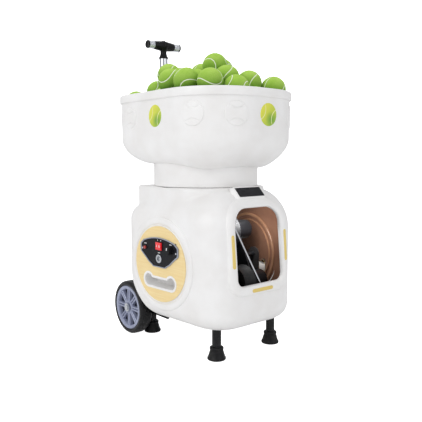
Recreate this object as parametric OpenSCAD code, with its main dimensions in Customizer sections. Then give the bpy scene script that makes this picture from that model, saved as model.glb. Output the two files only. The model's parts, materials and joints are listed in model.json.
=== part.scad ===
// Tennis ball machine: wheeled moulded body with a launch window, a lift-off hopper full of balls,
// a ball feeder, and a two-wheel launcher on a motor-driven turntable.
// The origin is on the floor under the neck axis. The launch window faces -Y, the controls -X.

/* [Body] */
// Height of the body's deck above the floor
deck_z = 441; // [436:1:446]
// Height of the body's underside above the floor
belly_z = 78; // [74:1:82]
// Body wall thickness
wall = 5; // [4:0.5:6]
// How far the front face stands ahead of the neck axis
front_y = 231; // [225:1:236]
// How far the rear face stands behind the neck axis
rear_y = 180; // [176:1:182]
// Diameter of the round pad on each side
pad_d = 252; // [240:2:256]
// Diameter of the coloured disc in each pad
disc_d = 204; // [196:2:208]

/* [Window] */
// Width of the launch window
window_w = 160; // [140:2:160]
// Height of the window's lower edge
window_low_z = 196; // [190:1:204]
// Height of the window's upper edge
window_high_z = 390; // [376:1:390]

/* [Hopper] */
// Height of the hopper rim above the floor
rim_z = 692; // [680:2:710]
// Half of the hopper's width
hopper_x = 185; // [180:1:188]
// How far the rim stands ahead of the neck axis
hopper_front = 241; // [236:1:244]
// How far the rim stands behind the neck axis
hopper_rear = 225; // [222:1:228]
// Outside radius of the round neck
neck_r = 147; // [144:1:148]
// Height of the rolled lip
lip_h = 22; // [18:1:26]

/* [Balls] */
// Diameter of a tennis ball
ball_d = 67; // [65.4:0.1:68.6]
// Clear gap between neighbouring balls
ball_gap = 0.4; // [0.3:0.1:1]

/* [Running gear] */
// Wheel diameter
wheel_d = 156; // [150:1:156]
// Wheel width
wheel_w = 38; // [34:1:38]
// Distance of the axle behind the neck axis
axle_y = 163; // [162:0.5:164]
// Axle diameter
axle_d = 12; // [10:0.5:14]
// Half of the distance between the left and right feet
foot_x = 99; // [96:1:99]
// Leg tube diameter
leg_d = 24; // [22:1:25]

/* [Handle] */
// Distance of the handle tube behind the neck axis
handle_y = 204; // [203:0.5:205]
// Height of the cross grip's axis
grip_z = 856; // [840:2:880]
// Length of the cross grip
grip_l = 118; // [110:2:130]

/* [Launcher] */
// Throw wheel diameter
throw_d = 96; // [90:1:98]
// Gap between the two throw wheels
throw_gap = 52; // [48:1:56]
// Height of the ball's path
path_z = 247; // [245:1:249]

/* [Hidden] */
$fn = 72;

white = "#f0efef";
cream = "#f2dda2";
black = "#25252a";
brown = "#6f5242";
silver = "#b6b9c2";
lavender = "#a9aec4";
lime = "#a8d050";
eps = 1;
far = 400;

// Plan of the body: four corner circles joined by tangents, narrower at the front
rear_corner_r = 85;
front_corner_r = 100;
rear_corner = [92, rear_y - rear_corner_r];
front_corner = [57, front_corner_r - front_y];
corner_run = rear_corner - front_corner;
side_lean = atan2(corner_run.x, corner_run.y)
    - asin((front_corner_r - rear_corner_r) / norm(corner_run));

// The side pads' centre, on the slanting side face
pad_y = -15;
pad_z = 236;
pad_x = (rear_corner.x * cos(side_lean) - rear_corner.y * sin(side_lean) + rear_corner_r
    + pad_y * sin(side_lean)) / cos(side_lean);
pad_h = 4;
disc_floor = 2.5;
disc_t = 2.3;
disc_top = disc_floor + disc_t;
panel_t = 2.2;
panel_top = disc_top + panel_t;

// Opening in the deck, under the hopper's neck
deck_hole_r = 139;

// Controls, measured from the disc's centre
rocker_at = [0, 49];
rocker_size = [26, 20];
button_at = [-57, 40];
button_r = 4.5;
knob_at = [47, 42];
knob_r = 11;
knob_shaft_r = 3;
socket_at = [0, 15];
socket_r = 8.7;
fit = 0.05;

// Grip recess in each pad
grip_lobe_r = 19;
grip_lobe_x = 46;
grip_at_z = -47;
grip_depth = 36;
grip_wall = 3;

// Running gear
axle_z = wheel_d / 2;
wheel_out_x = 167;
wheel_in_x = wheel_out_x - wheel_w;
rim_r = 64;
bracket_x = 112;
bracket_t = 6;
foot_front_y = -164;
foot_rear_y = 132;
foot_h = 34;
floor_t = 6;
floor_z = belly_z + wall;
chamfer_low = [54, 92];
chamfer_high = [rear_y, 215];
chamfer_angle = atan2(chamfer_high.y - chamfer_low.y, chamfer_high.x - chamfer_low.x);

// Hopper
bowl_front = hopper_front - 6;
bowl_rear = hopper_rear - 6;
bowl_x = hopper_x - 5;
bowl_low_z = 488;
bowl_turn_z = 570;
bowl_front_r = 150;
bowl_rear_r = 90;
channel_half = 20;
channel_front = 184;
channel_wall = 5;

// Handle
outer_r = 15.5;
inner_r = 12.5;
outer_low_z = 225;
outer_high_z = 640;
inner_low_z = 240;
tee_low_z = 818;

// Launcher
yaw_y = -105;
throw_y = -110;
throw_r = throw_d / 2;
upper_z = path_z + (throw_gap + throw_d) / 2;
lower_z = path_z - (throw_gap + throw_d) / 2;
cheek_x = 30;
cheek_t = 4;
shaft_r = 4;
motor_r = 27;
motor_l = 48;
trunnion_r = 6;
upright_x = 88;
rest_tilt = 25;
gear_module = 2;
gear_teeth = 72;
pinion_teeth = 15;
gear_z = 96;
gear_t = 8;
gear_reach = gear_module * (gear_teeth + pinion_teeth) / 2;
pinion_at = [-gear_reach * sin(45), yaw_y + gear_reach * sin(45)];
pivot_r = 10;

// Feeder
feed_z = 452;
feed_r = 132;
feed_hole_y = 90;
feed_pockets = 6;

function arc(c, r, a0, a1, n = 12) = [for (k = [0:n]) c + r * [cos(a0 + (a1 - a0) * k / n),
    sin(a0 + (a1 - a0) * k / n)]];
function mirrored(points) = [for (k = [len(points) - 1:-1:0]) [-points[k].x, points[k].y]];
function both(points) = concat(points, mirrored(points));

module across_x(w) {
    rotate([90, 0, 90]) linear_extrude(w, center = true) children();
}
module across_y(d) {
    rotate([90, 0, 0]) linear_extrude(d, center = true) children();
}
module along_x(r, l) {
    rotate([0, 90, 0]) cylinder(r = r, h = l);
}
// Puts a shape drawn in (right, up, outward) on the left (-1) or right (+1) side face
module on_side(side) {
    translate([side * pad_x, pad_y, pad_z]) rotate([90, 0, side * (90 - side_lean)]) children();
}

// Body forms: the outside at inset 0, the inside at inset = wall
module body_plan(i) {
    polygon(both(concat(arc(front_corner, front_corner_r - i, -90, -side_lean),
        arc(rear_corner, rear_corner_r - i, -side_lean, 90))));
}
module body_side(i) {
    chin_r = 45;
    polygon(concat(arc([chin_r - front_y, belly_z + chin_r], chin_r - i, 270, 180),
        [[-206 + i, 370], [-191 + i, 419], [-169, deck_z - i], [152 - i, deck_z - i],
        [152 - i, 397 - i], [rear_y - i, 366 - i], [rear_y - i, chamfer_high.y + i],
        [chamfer_low.x - i, chamfer_low.y + i], [28, belly_z + i]]));
}
module body_front(i) {
    belly_r = 45;
    half = 179;
    polygon(both(concat(arc([half - belly_r, belly_z + belly_r], belly_r - i, -90, 0),
        [[half - i, 366 - i], [149 - i, 397 - i], [149 - i, deck_z - i]])));
}
module body_form(i) {
    intersection() {
        linear_extrude(far * 2) body_plan(i);
        across_x(far) body_side(i);
        across_y(far * 2) body_front(i);
    }
}
module window_outline(grow) {
    top_r = 42 + grow;
    low_r = 20 + grow;
    half = window_w / 2 + grow;
    polygon(both(concat(arc([half - low_r, window_low_z - grow + low_r], low_r, -90, 0),
        arc([half - top_r, window_high_z + grow - top_r], top_r, 0, 90))));
}
module grip_outline(grow) {
    for (side = [-1, 1]) translate([side * grip_lobe_x, grip_at_z]) circle(r = grip_lobe_r + grow);
    translate([-grip_lobe_x, grip_at_z - grip_lobe_r - grow])
        square([2 * grip_lobe_x, 2 * grip_lobe_r - 9 + 2 * grow]);
}
module body_shell() {
    leg_clear = leg_d / 2 + 0.5;
    color(white) difference() {
        union() {
            difference() {
                body_form(0);
                body_form(wall);
                translate([0, -300, 0]) across_y(300) window_outline(0);
                translate([0, 0, deck_z - 20]) cylinder(r = deck_hole_r, h = far);
            }
            for (side = [-1, 1]) on_side(side) difference() {
                translate([0, 0, -1]) cylinder(d = pad_d, h = pad_h + 1);
                translate([0, 0, disc_floor]) cylinder(d = disc_d + 0.6, h = far);
            }
        }
        for (side = [-1, 1]) on_side(side) {
            translate([0, 0, disc_floor - 1]) difference() {
                cylinder(d = disc_d + 14, h = far);
                translate([0, 0, -1]) cylinder(d = disc_d + 6, h = far);
            }
            translate([0, 0, -20]) linear_extrude(far) grip_outline(0.3);
        }
        on_side(-1) translate([0, 0, -20]) linear_extrude(far) panel_cutout();
        for (x = [-foot_x, foot_x], y = [foot_front_y, foot_rear_y])
            translate([x, y, 0]) cylinder(r = leg_clear, h = chamfer_high.y - 10);
    }
}
module window_frame() {
    proud = 6;
    color(white) intersection() {
        difference() {
            translate([0, -300, 0]) across_y(300) window_outline(20);
            translate([0, -300, 0]) across_y(310) window_outline(0);
            body_form(0);
        }
        translate([0, -proud, 0]) body_form(0);
    }
}
// Three coloured strips let into the window frame: left, right and below
module window_strips() {
    color(cream) intersection() {
        union() {
            for (side = [-1, 1]) translate([side * 91 - 3.8, -300, 246]) cube([7.6, 300, 82]);
            translate([-36, -300, 178]) cube([72, 300, 8.6]);
        }
        difference() {
            translate([0, -7.5, 0]) body_form(0);
            translate([0, -6, 0]) body_form(0);
        }
    }
}
module badge_plate() {
    slope = atan2(deck_z - 419, -169 + 191);
    color(black) translate([0, -191, 419]) rotate([slope, 0, 0])
        translate([-43.5, 0.5, 0]) cube([87, 30, 1.6]);
}
// Dark lining of the launch bay, with the side pad's ring standing inwards on its far wall
module bay_liner() {
    back_y = 112;
    ramp_y = 40;
    ramp_z = 165;
    skin = 2.5;
    out = wall + 0.4;
    ring_h = 4;
    color(brown) difference() {
        intersection() {
            body_form(out);
            union() {
                difference() {
                    body_form(out);
                    body_form(out + skin);
                }
                on_side(1) translate([0, 0, -out - skin - ring_h]) difference() {
                    cylinder(d = pad_d, h = ring_h + 1);
                    translate([0, 0, -1]) cylinder(d = pad_d - 26, h = ring_h + 3);
                }
            }
        }
        translate([-far, back_y, 0]) cube(far * 2);
        translate([-far, ramp_y, 0]) cube([far * 2, far, ramp_z]);
        translate([-far, -far, 0]) cube([far * 2, far * 2, 105]);
        translate([-far, -far, 405]) cube(far * 2);
        translate([0, -300, 0]) across_y(300) window_outline(1.5);
        for (side = [-1, 1]) on_side(side) translate([0, 0, -80]) linear_extrude(far) grip_outline(5);
        on_side(-1) translate([0, 0, -80]) linear_extrude(far) panel_cutout(4);
    }
}
// Slanting rod across the window, on two round feet against the bay's front wall
module guard_rod() {
    low = [14, -214, 183];
    high = [-74, -198, 352];
    run = high - low;
    color(silver) intersection() {
        union() {
            translate(low) rotate([0, acos(run.z / norm(run)), atan2(run.y, run.x)])
                cylinder(r = 2.5, h = norm(run));
            for (end = [low, high]) translate(end) rotate([90, 0, 0]) cylinder(r = 5, h = 40);
        }
        body_form(wall + 0.4 + 2.5);
    }
}

module side_disc(side) {
    color(cream) on_side(side) difference() {
        translate([0, 0, disc_floor]) cylinder(d = disc_d, h = disc_t);
        translate([0, 0, -20]) linear_extrude(far) grip_outline(0.3);
        if (side < 0) translate([0, 0, -20]) linear_extrude(far) panel_cutout(0);
    }
}
module grip_cup(side) {
    color(white) on_side(side) difference() {
        union() {
            translate([0, 0, -grip_depth]) linear_extrude(grip_depth + disc_top) grip_outline(0);
            translate([0, 0, disc_top]) linear_extrude(1.4) grip_outline(3);
        }
        translate([0, 0, -grip_depth + grip_wall])
            linear_extrude(grip_depth + far) grip_outline(-grip_wall);
    }
}

// Control panel: a shield outline with a bowed top, upright sides and a narrow foot
module panel_outline(grow) {
    bow_r = 182;
    shoulder_x = 73;
    shoulder_z = 54;
    corner_r = 7;
    hip_z = 29;
    foot_x_half = 29;
    foot_low = -6;
    bow_half = asin(shoulder_x / bow_r);
    crown = [0, shoulder_z - bow_r * cos(bow_half)];
    waist = [54, 15];
    step_z = 4;
    centre = [0, 30];
    k = 1 + grow / 60;
    shoulder = [shoulder_x - corner_r, shoulder_z - corner_r - 1];
    hip = [shoulder_x - corner_r, hip_z + corner_r / 2];
    foot = [foot_x_half - corner_r, foot_low + corner_r];
    translate(centre) scale([k, k]) translate(-centre) polygon(both(concat(
        arc(foot, corner_r, -90, -30, 6), [[foot_x_half + 12, step_z], waist],
        arc(hip, corner_r, -40, 0, 4), arc(shoulder, corner_r, 0, 50, 6),
        arc(crown, bow_r, 86 - bow_half + 8, 90, 8))));
}
module panel_cutout(grow = 0) {
    translate([-68 - grow, 26 - grow]) square([136 + 2 * grow, 36 + 2 * grow]);
    translate([-16 - grow, 0 - grow]) square([32 + 2 * grow, 36 + 2 * grow]);
}
module panel_bezel() {
    color(silver) on_side(-1) translate([0, 0, disc_top]) linear_extrude(panel_t + 0.8) difference() {
        panel_outline(4);
        panel_outline(0.1);
    }
}
module control_panel() {
    color(black) on_side(-1) difference() {
        union() {
            translate([0, 0, disc_top]) linear_extrude(panel_t) panel_outline(0);
            translate([rocker_at.x - 15, rocker_at.y - 12, disc_top]) cube([30, 24, panel_t + 1.2]);
            translate([knob_at.x, knob_at.y, -12]) cylinder(r = 8, h = 14 + disc_top);
            translate([button_at.x, button_at.y, -8]) cylinder(r = 7, h = 9 + panel_top);
            translate([rocker_at.x - 15, rocker_at.y - 12, -14]) cube([30, 24, 16 + disc_top]);
        }
        translate([rocker_at.x - rocker_size.x / 2 - 0.8, rocker_at.y - rocker_size.y / 2 - 0.3, -10])
            cube([rocker_size.x + 1.6, rocker_size.y + 0.6, far]);
        translate([button_at.x, button_at.y, -4]) cylinder(r = button_r + fit, h = far);
        translate([button_at.x, button_at.y, -20]) cylinder(r = 2, h = far);
        translate([knob_at.x, knob_at.y, -20]) cylinder(r = knob_shaft_r + fit, h = far);
        translate([socket_at.x, socket_at.y, -20]) cylinder(r = socket_r, h = far);
    }
}
// The rocker is tipped on its pivot, with one end standing proud
module rocker_switch() {
    tip = 7;
    pivot_h = disc_top - 1;
    color("red") on_side(-1) translate([rocker_at.x, rocker_at.y, pivot_h]) rotate([0, -tip, 0])
        intersection() {
            translate([-rocker_size.x / 2, -rocker_size.y / 2, -6])
                cube([rocker_size.x, rocker_size.y, 20]);
            rotate([90, 0, 0]) cylinder(r = rocker_size.x / 2 + 0.3, h = 30, center = true);
            translate([-20, -20, -6]) cube([40, 40, 12.5]);
        }
}
module pairing_button() {
    color("red") on_side(-1) translate([button_at.x, button_at.y, 0]) {
        cylinder(r = button_r, h = panel_top + 4);
        translate([0, 0, panel_top + 2.2]) cylinder(r = button_r - 1, h = 2.4);
    }
}
module speed_knob() {
    color(black) on_side(-1) translate([knob_at.x, knob_at.y, 0]) {
        translate([0, 0, -14]) cylinder(r = knob_shaft_r, h = 16 + panel_top);
        translate([0, 0, panel_top + 0.4]) cylinder(r = knob_r, h = 4);
        translate([0, 0, panel_top + 4.4]) cylinder(r = knob_r - 2, h = 9);
        translate([-1, 2, panel_top + 13.4]) cube([2, knob_r - 4, 0.8]);
    }
}
module charge_socket() {
    pin_ring = 3.4;
    color(silver) on_side(-1) translate([socket_at.x, socket_at.y, 0]) {
        difference() {
            union() {
                translate([0, 0, -18]) cylinder(r = socket_r, h = 18 + panel_top);
                translate([0, 0, panel_top]) cylinder(r = socket_r + 2.5, h = 1.6);
            }
            translate([0, 0, -10]) cylinder(r = socket_r - 2, h = far);
        }
        for (k = [0:2]) rotate(90 + 120 * k) translate([pin_ring, 0, -11]) cylinder(r = 1.2, h = 15);
    }
}
module panel_screws() {
    color(silver) on_side(-1) for (x = [-69, 69]) translate([x, 37, panel_top])
        cylinder(r = 2.4, h = 1.2);
}

// Chassis
module base_plate() {
    half = 122;
    slope_l = 128;
    color("#8c9096") difference() {
        union() {
            translate([-half, -190, floor_z]) cube([2 * half, 190 + chamfer_low.x - 11, floor_t]);
            translate([0, chamfer_low.x - 14, floor_z]) rotate([chamfer_angle, 0, 0])
                translate([-half, 0, 0]) cube([2 * half, slope_l, floor_t]);
        }
        translate([0, yaw_y, 0]) cylinder(r = pivot_r + fit, h = far);
        difference() {
            translate([-far, -far, 0]) cube([2 * far, 2 * far, far]);
            body_form(wall);
        }
    }
}
module leg(side, y) {
    top_z = y < 0 ? floor_z : chamfer_high.y;
    color(black) difference() {
        translate([side * foot_x, y, foot_h - 10]) cylinder(d = leg_d, h = top_z - foot_h + 10);
        body_form(wall);
        translate([side * foot_x, y, 0]) cylinder(d = leg_d - 4, h = foot_h + 20);
    }
}
module foot(side, y) {
    color(black) translate([side * foot_x, y, 0]) difference() {
        union() {
            cylinder(r = 24.5, h = 5);
            translate([0, 0, 5]) cylinder(r1 = 23, r2 = 16, h = foot_h - 5);
        }
        translate([0, 0, foot_h - 10]) cylinder(d = leg_d, h = far);
    }
}
module axle() {
    color(silver) translate([-wheel_out_x + 2, axle_y, axle_z])
        along_x(axle_d / 2, 2 * wheel_out_x - 4);
}
module axle_bracket(side) {
    color(black) difference() {
        union() {
            translate([side * (bracket_x + bracket_t / 2), 0, 0]) across_x(bracket_t)
                polygon([[-24, 64], [axle_y, axle_z - 14], [axle_y, axle_z + 14], [62, 91],
                [32, belly_z], [-24, belly_z]]);
            translate([side * (bracket_x + bracket_t / 2) - bracket_t / 2, axle_y, axle_z])
                along_x(14, bracket_t);
            translate([side * (bracket_x - 2) - 12, -24, belly_z - 3]) cube([24, 52, 3]);
        }
        translate([-far, axle_y, axle_z]) along_x(axle_d / 2 + fit, far * 2);
        translate([side * foot_x, foot_rear_y, 0]) cylinder(d = leg_d + 1, h = far);
    }
}
module axle_collars() {
    color(silver) for (side = [-1, 1]) translate([side * 123.5 - 4, axle_y, axle_z]) difference() {
        along_x(11, 8);
        translate([-1, 0, 0]) along_x(axle_d / 2 + fit, 10);
    }
}

// Wheels
module wheel_at(side) {
    translate([side * wheel_in_x, axle_y, axle_z]) rotate([0, side * 90, 0]) children();
}
module wheel_rim(side) {
    spokes = 8;
    color(lavender) wheel_at(side) difference() {
        union() {
            difference() {
                cylinder(r = rim_r, h = wheel_w - 0.5);
                translate([0, 0, -1]) cylinder(r = rim_r - 9, h = wheel_w + 2);
            }
            cylinder(r = 17, h = wheel_w - 1);
            for (k = [0:spokes - 1]) rotate(k * 360 / spokes + 22.5)
                translate([14, -6, wheel_w - 17]) cube([rim_r - 20, 12, 13]);
        }
        translate([0, 0, -1]) cylinder(r = axle_d / 2 + 0.08, h = wheel_w + 2);
    }
}
module tyre(side) {
    edge_r = 8;
    color(black) wheel_at(side) rotate_extrude() difference() {
        union() {
            translate([rim_r, 0]) square([axle_z - edge_r - rim_r, wheel_w]);
            translate([rim_r, edge_r]) square([axle_z - rim_r, wheel_w - 2 * edge_r]);
            for (z = [edge_r, wheel_w - edge_r]) translate([axle_z - edge_r, z]) circle(r = edge_r);
        }
        translate([-far, -far]) square([far + rim_r, 2 * far]);
    }
}
module hub_cap(side) {
    color(silver) wheel_at(side) {
        translate([0, 0, wheel_w - 1]) cylinder(r = 12, h = 3);
        translate([0, 0, wheel_w + 2]) cylinder(r = 8, h = 3);
    }
}

// Telescopic handle
module handle_outer_tube() {
    color(black) translate([0, handle_y, outer_low_z]) difference() {
        union() {
            cylinder(r = outer_r, h = outer_high_z - outer_low_z);
            translate([0, 0, outer_high_z - outer_low_z - 24]) cylinder(r = outer_r + 2.5, h = 24);
        }
        translate([0, 0, -1]) cylinder(r = inner_r + fit, h = far * 2);
    }
}
module handle_clamps() {
    color(black) for (z = [250, 330]) difference() {
        union() {
            translate([-22, rear_y, z]) cube([44, handle_y - rear_y, 18]);
            translate([0, handle_y, z]) cylinder(r = outer_r + 5, h = 18);
        }
        translate([0, handle_y, z - 1]) cylinder(r = outer_r, h = 20);
    }
}
module handle_inner_tube() {
    color(silver) translate([0, handle_y, inner_low_z]) difference() {
        cylinder(r = inner_r, h = tee_low_z - inner_low_z);
        translate([0, 0, -1]) cylinder(r = inner_r - 2, h = far * 2);
    }
}
module handle_tee() {
    color(black) translate([0, handle_y, 0]) difference() {
        union() {
            translate([0, 0, tee_low_z]) cylinder(r = 9, h = grip_z - tee_low_z);
            translate([0, 0, tee_low_z]) cylinder(r = inner_r + 1, h = 8);
            translate([0, 0, grip_z - 12]) cylinder(r = 12.5, h = 24);
            translate([-17, 0, grip_z]) along_x(9, 34);
            translate([-grip_l / 2 + 4, 0, grip_z]) along_x(6, grip_l - 8);
        }
        translate([0, 0, grip_z + 6]) cylinder(r = 6 + fit, h = far);
    }
}
module grip_sleeves() {
    color(silver) for (side = [-1, 1]) for (k = [0:4])
        translate([side * (20 + 5 * k) - 2.2, handle_y, grip_z]) difference() {
            along_x(k % 2 == 0 ? 9 : 8.2, 4.4);
            translate([-1, 0, 0]) along_x(6, 7);
        }
}
module grip_end_caps() {
    color(black) for (side = [-1, 1])
        translate([side * (grip_l / 2 - 8) - 8, handle_y, grip_z]) difference() {
            along_x(8.6, 16);
            translate([side > 0 ? -1 : 4, 0, 0]) along_x(6, 13);
        }
}
module release_button() {
    color(black) translate([0, handle_y, grip_z + 9.5]) cylinder(r = 6, h = 6);
}

// Hopper
module hopper_plan(i) {
    front = [hopper_x - bowl_front_r, bowl_front_r - hopper_front];
    rear = [hopper_x - bowl_rear_r, hopper_rear - bowl_rear_r];
    polygon(both(concat(arc(front, bowl_front_r - i, -90, 0, 16), arc(rear, bowl_rear_r - i, 0, 90))));
}
function ellipse_arc(c, a, b, a0, a1, n = 10) = [for (k = [0:n])
    c + [a * cos(a0 + (a1 - a0) * k / n), b * sin(a0 + (a1 - a0) * k / n)]];
module bowl_form(i, top) {
    turn = bowl_turn_z - bowl_low_z;
    flat = 100;
    intersection() {
        translate([0, 0, bowl_low_z + i]) linear_extrude(top - bowl_low_z - i) hopper_plan(6 + i);
        across_x(far) polygon(concat(
            ellipse_arc([-flat, bowl_turn_z], bowl_front - flat - i, turn - i, 180, 270),
            ellipse_arc([flat, bowl_turn_z], bowl_rear - flat - i, turn - i, 270, 360),
            [[bowl_rear - i, top], [-bowl_front + i, top]]));
        across_y(far * 2) polygon(concat(
            ellipse_arc([-flat, bowl_turn_z], bowl_x - flat + 1 - i, turn - i, 180, 270),
            ellipse_arc([flat, bowl_turn_z], bowl_x - flat + 1 - i, turn - i, 270, 360),
            [[bowl_x - i + 1, top], [-bowl_x + i - 1, top]]));
    }
}
module channel_box(grow, top) {
    translate([-channel_half - grow, channel_front - grow, bowl_low_z - eps])
        cube([2 * (channel_half + grow), 100, top - bowl_low_z + 2 * eps]);
}
module hopper() {
    color(white) difference() {
        union() {
            difference() {
                union() {
                    bowl_form(0, rim_z);
                    translate([0, 0, rim_z - lip_h]) linear_extrude(lip_h) hopper_plan(0);
                }
                bowl_form(wall, rim_z + eps);
            }
            intersection() {
                bowl_form(0, rim_z);
                channel_box(channel_wall, rim_z);
            }
            translate([0, 0, deck_z]) cylinder(r = neck_r, h = bowl_low_z + 12 - deck_z);
            translate([0, 0, deck_z - 8]) cylinder(r = 138.6, h = 10);
        }
        translate([0, 0, deck_z - 10]) cylinder(r = 134.5, h = bowl_low_z + 40 - deck_z);
        channel_box(0, rim_z);
    }
}

// Feeder
module feed_floor() {
    drop_r = 37;
    rim_out_r = deck_hole_r + 4;
    color(black) difference() {
        union() {
            translate([0, 0, feed_z - 30]) cylinder(r = rim_out_r, h = 4);
            difference() {
                translate([0, 0, feed_z - 30]) cylinder(r = rim_out_r, h = deck_z - wall - feed_z + 30);
                translate([0, 0, feed_z - 31]) cylinder(r = rim_out_r - 3.5, h = far);
            }
            difference() {
                translate([0, 0, feed_z - 30]) cylinder(r = 134, h = 28);
                translate([0, 0, feed_z - 31]) cylinder(r = 130.5, h = 30);
            }
            translate([0, 0, feed_z - 6]) cylinder(r = 134, h = 4);
        }
        translate([0, feed_hole_y, 0]) cylinder(r = drop_r, h = far * 2);
        cylinder(r = 5, h = far * 2);
    }
}
module feed_wheel() {
    hub_r = 22;
    pocket_r = 35;
    color("#3c4046") difference() {
        union() {
            translate([0, 0, feed_z]) cylinder(r = feed_r, h = 26);
            translate([0, 0, feed_z + 26]) cylinder(r1 = hub_r + 16, r2 = hub_r - 6, h = 22);
        }
        for (k = [0:feed_pockets - 1]) rotate(90 + k * 360 / feed_pockets)
            translate([feed_hole_y, 0, 0]) cylinder(r = pocket_r, h = far * 2);
        translate([0, 0, feed_z - 1]) cylinder(r = 4 + fit, h = 20);
    }
}
module feed_motor() {
    color(silver) {
        translate([0, 0, feed_z - 84]) cylinder(r = 25, h = 54);
        translate([0, 0, feed_z - 31]) cylinder(r = 4, h = 47);
    }
}
module drop_chute() {
    tube_r = 39;
    bore_r = 36;
    bend_z = 318;
    top_z = feed_z - 30;
    run_y = -80;
    fall_z = -32;
    color(black) difference() {
        union() {
            translate([0, feed_hole_y, bend_z]) cylinder(r = tube_r, h = top_z - bend_z);
            translate([0, feed_hole_y, bend_z]) sphere(r = tube_r + 2.5);
            translate([0, feed_hole_y, bend_z]) rotate([90 + atan2(-fall_z, -run_y), 0, 0])
                cylinder(r = tube_r, h = norm([run_y, fall_z]));
        }
        translate([0, feed_hole_y, bend_z]) cylinder(r = bore_r, h = far);
        translate([0, feed_hole_y, bend_z]) sphere(r = bore_r + 2);
        translate([0, feed_hole_y, bend_z]) rotate([90 + atan2(-fall_z, -run_y), 0, 0])
            cylinder(r = bore_r, h = far);
    }
}
// Three close-packed layers of balls: the heap that stands above the hopper rim
module ball_load() {
    pitch = ball_d + ball_gap;
    row = pitch * sqrt(3) / 2;
    rise = pitch * sqrt(2 / 3);
    low_z = 655;
    shrink = [46, 44, 86];
    color(lime) for (layer = [0:2]) {
        shift = layer % 2 == 1 ? [0, pitch / sqrt(3)] : [0, 0];
        for (i = [-4:4], j = [-5:5]) {
            p = shift + [(i + (abs(j) % 2) / 2) * pitch, j * row];
            if (in_hopper(p, shrink[layer]) && (abs(p.x) > 62 || p.y < 142))
                translate([p.x, p.y, low_z + layer * rise]) sphere(d = ball_d, $fn = 32);
        }
    }
}
// True where a point lies inside the hopper's plan drawn in by the given distance
function in_hopper(p, i) =
    let (r = p.y < 0 ? bowl_front_r : bowl_rear_r, end = p.y < 0 ? hopper_front : hopper_rear,
        q = [max(abs(p.x) - (hopper_x - r), 0), max(abs(p.y) - (end - r), 0)])
    norm(q) <= r - i;

// Launcher
module gear_2d(teeth, m) {
    pitch_r = teeth * m / 2;
    step = 360 / teeth;
    polygon([for (k = [0:teeth - 1]) for (p = [[-0.29, -1.2], [-0.21, 0], [-0.12, 0.85], [0.12, 0.85],
        [0.21, 0], [0.29, -1.2]])
        (pitch_r + p[1] * m) * [cos((k + p[0]) * step), sin((k + p[0]) * step)]]);
}
module turntable() {
    bar_t = 7;
    color("#8c9096") difference() {
        union() {
            translate([0, yaw_y, gear_z]) linear_extrude(gear_t) gear_2d(gear_teeth, gear_module);
            translate([0, yaw_y, floor_z + 1]) cylinder(r = pivot_r, h = gear_z - floor_z);
            translate([-upright_x - 4, yaw_y - 20, gear_z + gear_t - 1])
                cube([2 * upright_x + 8, 40, bar_t]);
            for (side = [-1, 1]) translate([side * (upright_x + 2), yaw_y, 0]) across_x(4) union() {
                translate([-20, gear_z + gear_t - 1]) square([40, path_z - gear_z - gear_t]);
                translate([0, path_z]) circle(r = 20);
            }
        }
        translate([-far, yaw_y, path_z]) along_x(trunnion_r + fit, far * 2);
    }
}
module yaw_pinion() {
    color("#d8d2c4") translate([pinion_at.x, pinion_at.y, gear_z]) difference() {
        linear_extrude(gear_t) rotate(-45 + 180 / pinion_teeth) gear_2d(pinion_teeth, gear_module);
        translate([0, 0, -1]) cylinder(r = 3 + fit, h = gear_t + 2);
    }
}
module yaw_motor() {
    color(silver) translate([pinion_at.x, pinion_at.y, 0]) {
        translate([0, 0, gear_z + gear_t + 3]) cylinder(r = 16, h = 34);
        translate([-24, -9, floor_z + floor_t]) cube([6, 18, gear_z + gear_t + 37 - floor_z - floor_t]);
        translate([-24, -9, gear_z + gear_t + 27]) cube([24, 18, 10]);
        translate([0, 0, floor_z + floor_t]) cylinder(r = 3, h = 30);
    }
}
// Turns the launcher's parts to their rest elevation about the tilt axis
module raised() {
    translate([0, yaw_y, path_z]) rotate([-rest_tilt, 0, 0]) translate([0, -yaw_y, -path_z])
        children();
}
module launcher_cradle() {
    back_y = throw_y + 66;
    nose_r = 24;
    color("#8c9096") raised() difference() {
        union() {
            for (side = [-1, 1]) translate([side * (cheek_x + cheek_t / 2), 0, 0]) across_x(cheek_t)
                union() {
                    translate([throw_y - nose_r, lower_z])
                        square([back_y - throw_y + nose_r, upper_z - lower_z]);
                    for (z = [lower_z, upper_z]) translate([throw_y, z]) circle(r = nose_r);
                }
            for (side = [-1, 1]) translate([side < 0 ? -upright_x - 3 : cheek_x + 1, yaw_y, path_z])
                along_x(trunnion_r, upright_x + 2 - cheek_x);
            for (z = [lower_z + 8, upper_z - 8]) translate([-cheek_x - 1, back_y - 8, z])
                along_x(5, 2 * cheek_x + 2);
            translate([-cheek_x - 1, back_y - 26, path_z - 37]) cube([2 * cheek_x + 2, 26, 3]);
        }
        for (z = [lower_z, upper_z]) translate([-far, throw_y, z]) along_x(shaft_r + 1, far * 2);
    }
}
module throw_wheel(z) {
    tread = 6;
    groove_r = 46;
    color("#3a3a3c") raised() translate([-20, throw_y, z]) difference() {
        along_x(throw_r, 40);
        translate([20, 0, 0]) rotate([0, 90, 0]) rotate_extrude()
            translate([throw_r + groove_r - 5, 0]) circle(r = groove_r);
        translate([-1, 0, 0]) along_x(shaft_r + fit, 42);
        for (x = [-1, 34]) translate([x, 0, 0]) rotate([0, 90, 0]) difference() {
            cylinder(r = throw_r - tread - 6, h = 7);
            translate([0, 0, -1]) cylinder(r = 12, h = 9);
        }
    }
}
module wheel_motor(z) {
    color("#1c1c1f") raised() translate([0, throw_y, z]) {
        translate([cheek_x + cheek_t, 0, 0]) along_x(motor_r, motor_l);
        translate([cheek_x + cheek_t + motor_l, 0, 0]) along_x(9, 3);
        translate([-cheek_x + 1, 0, 0]) along_x(shaft_r, 2 * cheek_x + cheek_t);
    }
}
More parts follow.
